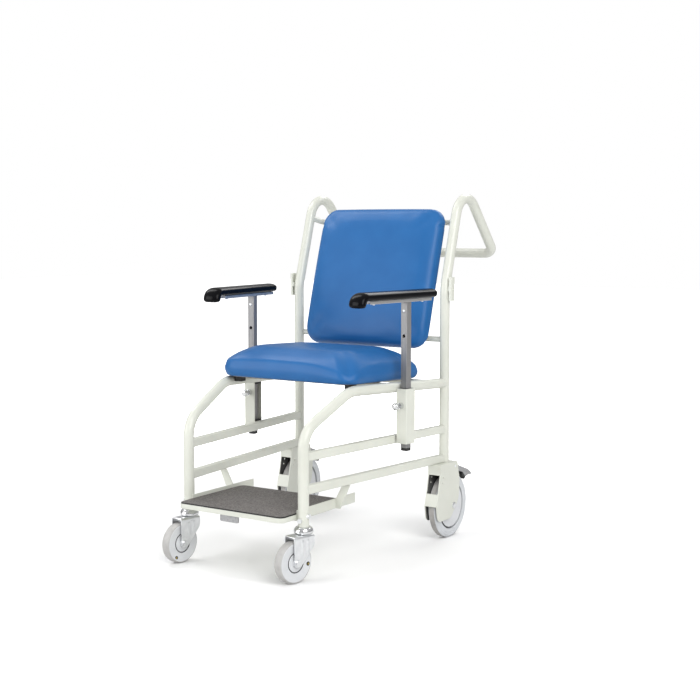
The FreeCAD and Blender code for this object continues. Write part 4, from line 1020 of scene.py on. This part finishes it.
def castor_plugs():
    """Black plugs with a yellow dot, one in each face of the castor wheels."""
    profile = [(PLUG_CORE, PLUG_SUNK), (PLUG_R, PLUG_SUNK), (PLUG_R, 0.96 * PLUG_PROUD),
               (0.85 * PLUG_R, PLUG_PROUD), (PLUG_DOT_R, PLUG_PROUD),
               (0.9 * PLUG_DOT_R, PLUG_PROUD + 0.3 * MM), (PLUG_CORE, PLUG_PROUD + 0.4 * MM)]
    for side in SIDES:
        centre, axis = wheel_place("castor_roll_" + side)
        rear = UP.cross(axis)
        if rear.y < 0:
            rear = -rear
        back, up = PLUG_PLACE[side]
        place = centre + (rear * back + UP * up) * CASTOR_R
        bm = bmesh.new()
        for face in (1, -1):
            lathe(bm, profile, place, axis * face, PLUG_SEGMENTS)
        plug = piece("castor_plugs_" + side, bm, "castor_wheel_" + side, "black_rubber")
        two_tone(plug, YELLOW_PLUG, lambda co: plug_dot(co - place, axis))


def plug_dot(offset, axis):
    along = offset.dot(axis)
    return (offset - axis * along).length < 0.95 * PLUG_DOT_R and abs(along) > 0.9 * CASTOR_HALF


# Castor heads and fasteners

FORK_FACE = 19 * MM         # outside of the fork legs, from the middle of the castor
RIB_PLACES = (2 * MM, 20 * MM)
RIB_HALF_WIDTH = 5 * MM
RIB_RISE = 1.6 * MM
RIB_LOW = 68 * MM
RIB_HIGH = 108 * MM
RIB_SUNK = 0.3 * MM
RIB_ROWS = 24
RIB_STEPS = 12
RIB_END_POWER = 5               # how late a rib narrows to its ends
RIB_END_WIDTH = 0.2


def rib(bm, place, forward, out):
    """Long shallow swage pressed out of a fork leg."""
    loops = []
    for i in range(RIB_ROWS + 1):
        share = i / RIB_ROWS
        ends = math.sqrt(max(0.0, 1.0 - abs(2 * share - 1.0) ** RIB_END_POWER))
        level = RIB_LOW + (RIB_HIGH - RIB_LOW) * share
        half = RIB_HALF_WIDTH * (RIB_END_WIDTH + (1.0 - RIB_END_WIDTH) * ends)
        loop = []
        for k in range(RIB_STEPS + 1):
            angle = math.pi * k / RIB_STEPS
            rise = RIB_RISE * math.sin(angle) * ends - RIB_SUNK
            loop.append(place + forward * half * math.cos(angle) + out * rise + UP * level)
        loops.append(loop)
    loft(bm, loops)


def fork_ribs():
    """Swages on the outside of the castor forks."""
    for side in SIDES:
        centre, axis = wheel_place("castor_roll_" + side)
        pivot = Vector(JOINTS["castor_swivel_" + side]["pos_m"])
        forward = Vector((centre.x - pivot.x, centre.y - pivot.y, 0.0)).normalized()
        ground = Vector((pivot.x, pivot.y, 0.0))
        bm = bmesh.new()
        for face in (1, -1):
            for ahead in RIB_PLACES:
                rib(bm, ground + axis * face * FORK_FACE + forward * ahead, forward, axis * face)
        piece("fork_swages_" + side, bm, "castor_" + side, "zinc_plate")


HEAD_R = 24 * MM
HEAD_LOW = 119.3 * MM
HEAD_HEIGHT = 17.5 * MM
HEAD_FOOT = 0.78                # share of the head's radius
HEAD_SMOOTH = 35.0
# Section of the bearing dome, as shares of the head's radius and height
HEAD_DOME = ((0.80, 0.02), (0.99, 0.02), (1.06, 0.42), (0.86, 0.93), (0.60, 0.99))
STEM_R = 11.8 * MM
PIN_R = 6 * MM
RIVET_R = 11 * MM
RIVET_EDGE = 2 * MM             # chamfer round the rivet's foot
RIVET_HEIGHT = 4.4 * MM
RIVET_SLOPE = 0.1 * MM
AXIS_R = 0.2 * MM               # where a turned face closes near its axis


def castor_heads():
    """Chromed bearing domes on their stems, with the king pin riveted below the fork."""
    low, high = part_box("castor_stems")
    dome = smooth_profile(in_size(HEAD_DOME, HEAD_R, HEAD_HEIGHT))
    dome = [(radius, HEAD_LOW + z) for radius, z in dome]
    rivet_top = low.z + RIVET_HEIGHT
    pin = [(AXIS_R, low.z), (RIVET_R - RIVET_EDGE, low.z), (RIVET_R, low.z + RIVET_EDGE),
           (RIVET_R, rivet_top), (PIN_R, rivet_top + RIVET_SLOPE), (PIN_R, HEAD_LOW),
           (HEAD_FOOT * HEAD_R, HEAD_LOW)]
    stem = [(STEM_R, HEAD_LOW + HEAD_HEIGHT), (STEM_R, high.z), (AXIS_R, high.z)]
    for side in SIDES:
        foot = side_matrix(side).translation
        bm = bmesh.new()
        lathe(bm, pin + dome + stem, foot, UP)
        replaced = ("castor_stems",) if side == "left" else ()
        piece("castor_head_" + side, bm, "frame", "bright_chrome", replaced, smooth_angle=HEAD_SMOOTH)


SHEET_TRIM = 0.7 * MM
SHEET_CORNER = 14.5 * MM


def footplate_sheet():
    """Gritty sheet on the footplate, with a bare black edge all round."""
    low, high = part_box("footplate_mat")
    half = (high.x - low.x) / 2.0
    bm = bmesh.new()
    loops = []
    for inset, z in ((0.0, low.z), (0.0, high.z - SHEET_TRIM), (SHEET_TRIM, high.z)):
        ring = outline(half - inset, low.y + inset, high.y - inset, SHEET_CORNER)
        loops.append([Vector((p.x, p.y, z)) for p, c in ring])
    loft(bm, loops)
    sheet = piece("footplate_sheet", bm, "footplate", "grit_mat", ("footplate_mat",))
    two_tone(sheet, MATERIAL["black_rubber"], lambda co: co.z < high.z - 0.1 * SHEET_TRIM)


KNURLS = 24
KNURL_DEPTH = 0.02              # half of it, as a share of the radius
KNOB_SEGMENTS = 96
KNOB_STEM_R = 4.0 * MM
# Grip of the knob: share of its radius, and distance from its front in mm
KNOB_GRIP = ((0.45, 0.0), (0.78, 0.8), (0.96, 2.2), (1.0, 3.6), (1.0, 8.6), (0.95, 9.4), (0.74, 13.9))
KNOB_LENGTH = 14.0 * MM


def knurl(angle):
    return 1.0 - KNURL_DEPTH * (1 + math.cos(KNURLS * angle))


def knobs():
    """Pull knobs of the index plungers, knurled round the grip."""
    for side in SIDES:
        low, high = node_in_side("plunger", side)
        front = ((low.x + high.x) / 2.0, low.y, (low.z + high.z) / 2.0)
        length = high.y - low.y
        grip = in_size(KNOB_GRIP, (high.x - low.x) / 2.0, MM)
        stem = [(KNOB_STEM_R, KNOB_LENGTH), (KNOB_STEM_R, length), (AXIS_R, length)]
        bm = bmesh.new()
        lathe(bm, [(AXIS_R, 0.0)] + grip + stem, front, (0, 1, 0), KNOB_SEGMENTS, knurl)
        bm.transform(side_matrix(side))
        piece("pull_knob_" + side, bm, "index_pin_" + side, "bright_chrome", ("plunger_" + side,))


SCREW_SEGMENTS = 24
SCREW_SUNK = 0.2 * MM
# Pan head with a round socket, as shares of its radius and height
SCREW_HEAD = ((1.0, 0.45), (0.85, 0.82), (0.55, 1.0), (0.42, 1.0), (0.38, 0.45), (0.02, 0.4))
PAD_SCREW = (4.5 * MM, 9 * MM)          # radius and height of the head
POST_SCREW = (4 * MM, 2.6 * MM)
CHANNEL_WALL = 2.0 * MM
FRONT_SCREW_IN = 26 * MM                # from the ends of the channel
REAR_SCREW_IN = 28 * MM
POST_SCREW_DOWN = 24 * MM               # from the top of the post


def screw_head(bm, centre, axis, size):
    radius, height = size
    foot = [(0.1 * radius, -SCREW_SUNK), (radius, -SCREW_SUNK)]
    lathe(bm, foot + in_size(SCREW_HEAD, radius, height), centre, axis, SCREW_SEGMENTS)


def arm_screws():
    """Screws through the channel into the pad, and one through the top of each post."""
    for side in SIDES:
        channel_low, channel_high = node_in_side("arm_channel", side)
        post_low, post_high = node_in_side("arm_post", side)
        middle = (channel_low.x + channel_high.x) / 2.0
        web = channel_high.z - CHANNEL_WALL
        bm = bmesh.new()
        for along in (channel_low.y + FRONT_SCREW_IN, channel_high.y - REAR_SCREW_IN):
            screw_head(bm, (middle, along, web), (0, 0, -1), PAD_SCREW)
        on_post = ((post_low.x + post_high.x) / 2.0, post_low.y, post_high.z - POST_SCREW_DOWN)
        screw_head(bm, on_post, (0, -1, 0), POST_SCREW)
        bm.transform(side_matrix(side))
        piece("arm_screws_" + side, bm, "arm_" + side, "zinc_plate")


make_camera()
make_floor()
make_world()
make_light()
seat_pad()
back_pad()
arm_pads()
castor_wheels()
castor_plugs()
rear_wheels()
housing_insides()
fork_ribs()
castor_heads()
footplate_sheet()
knobs()
arm_screws()

bpy.context.scene.view_settings.view_transform = "Standard"
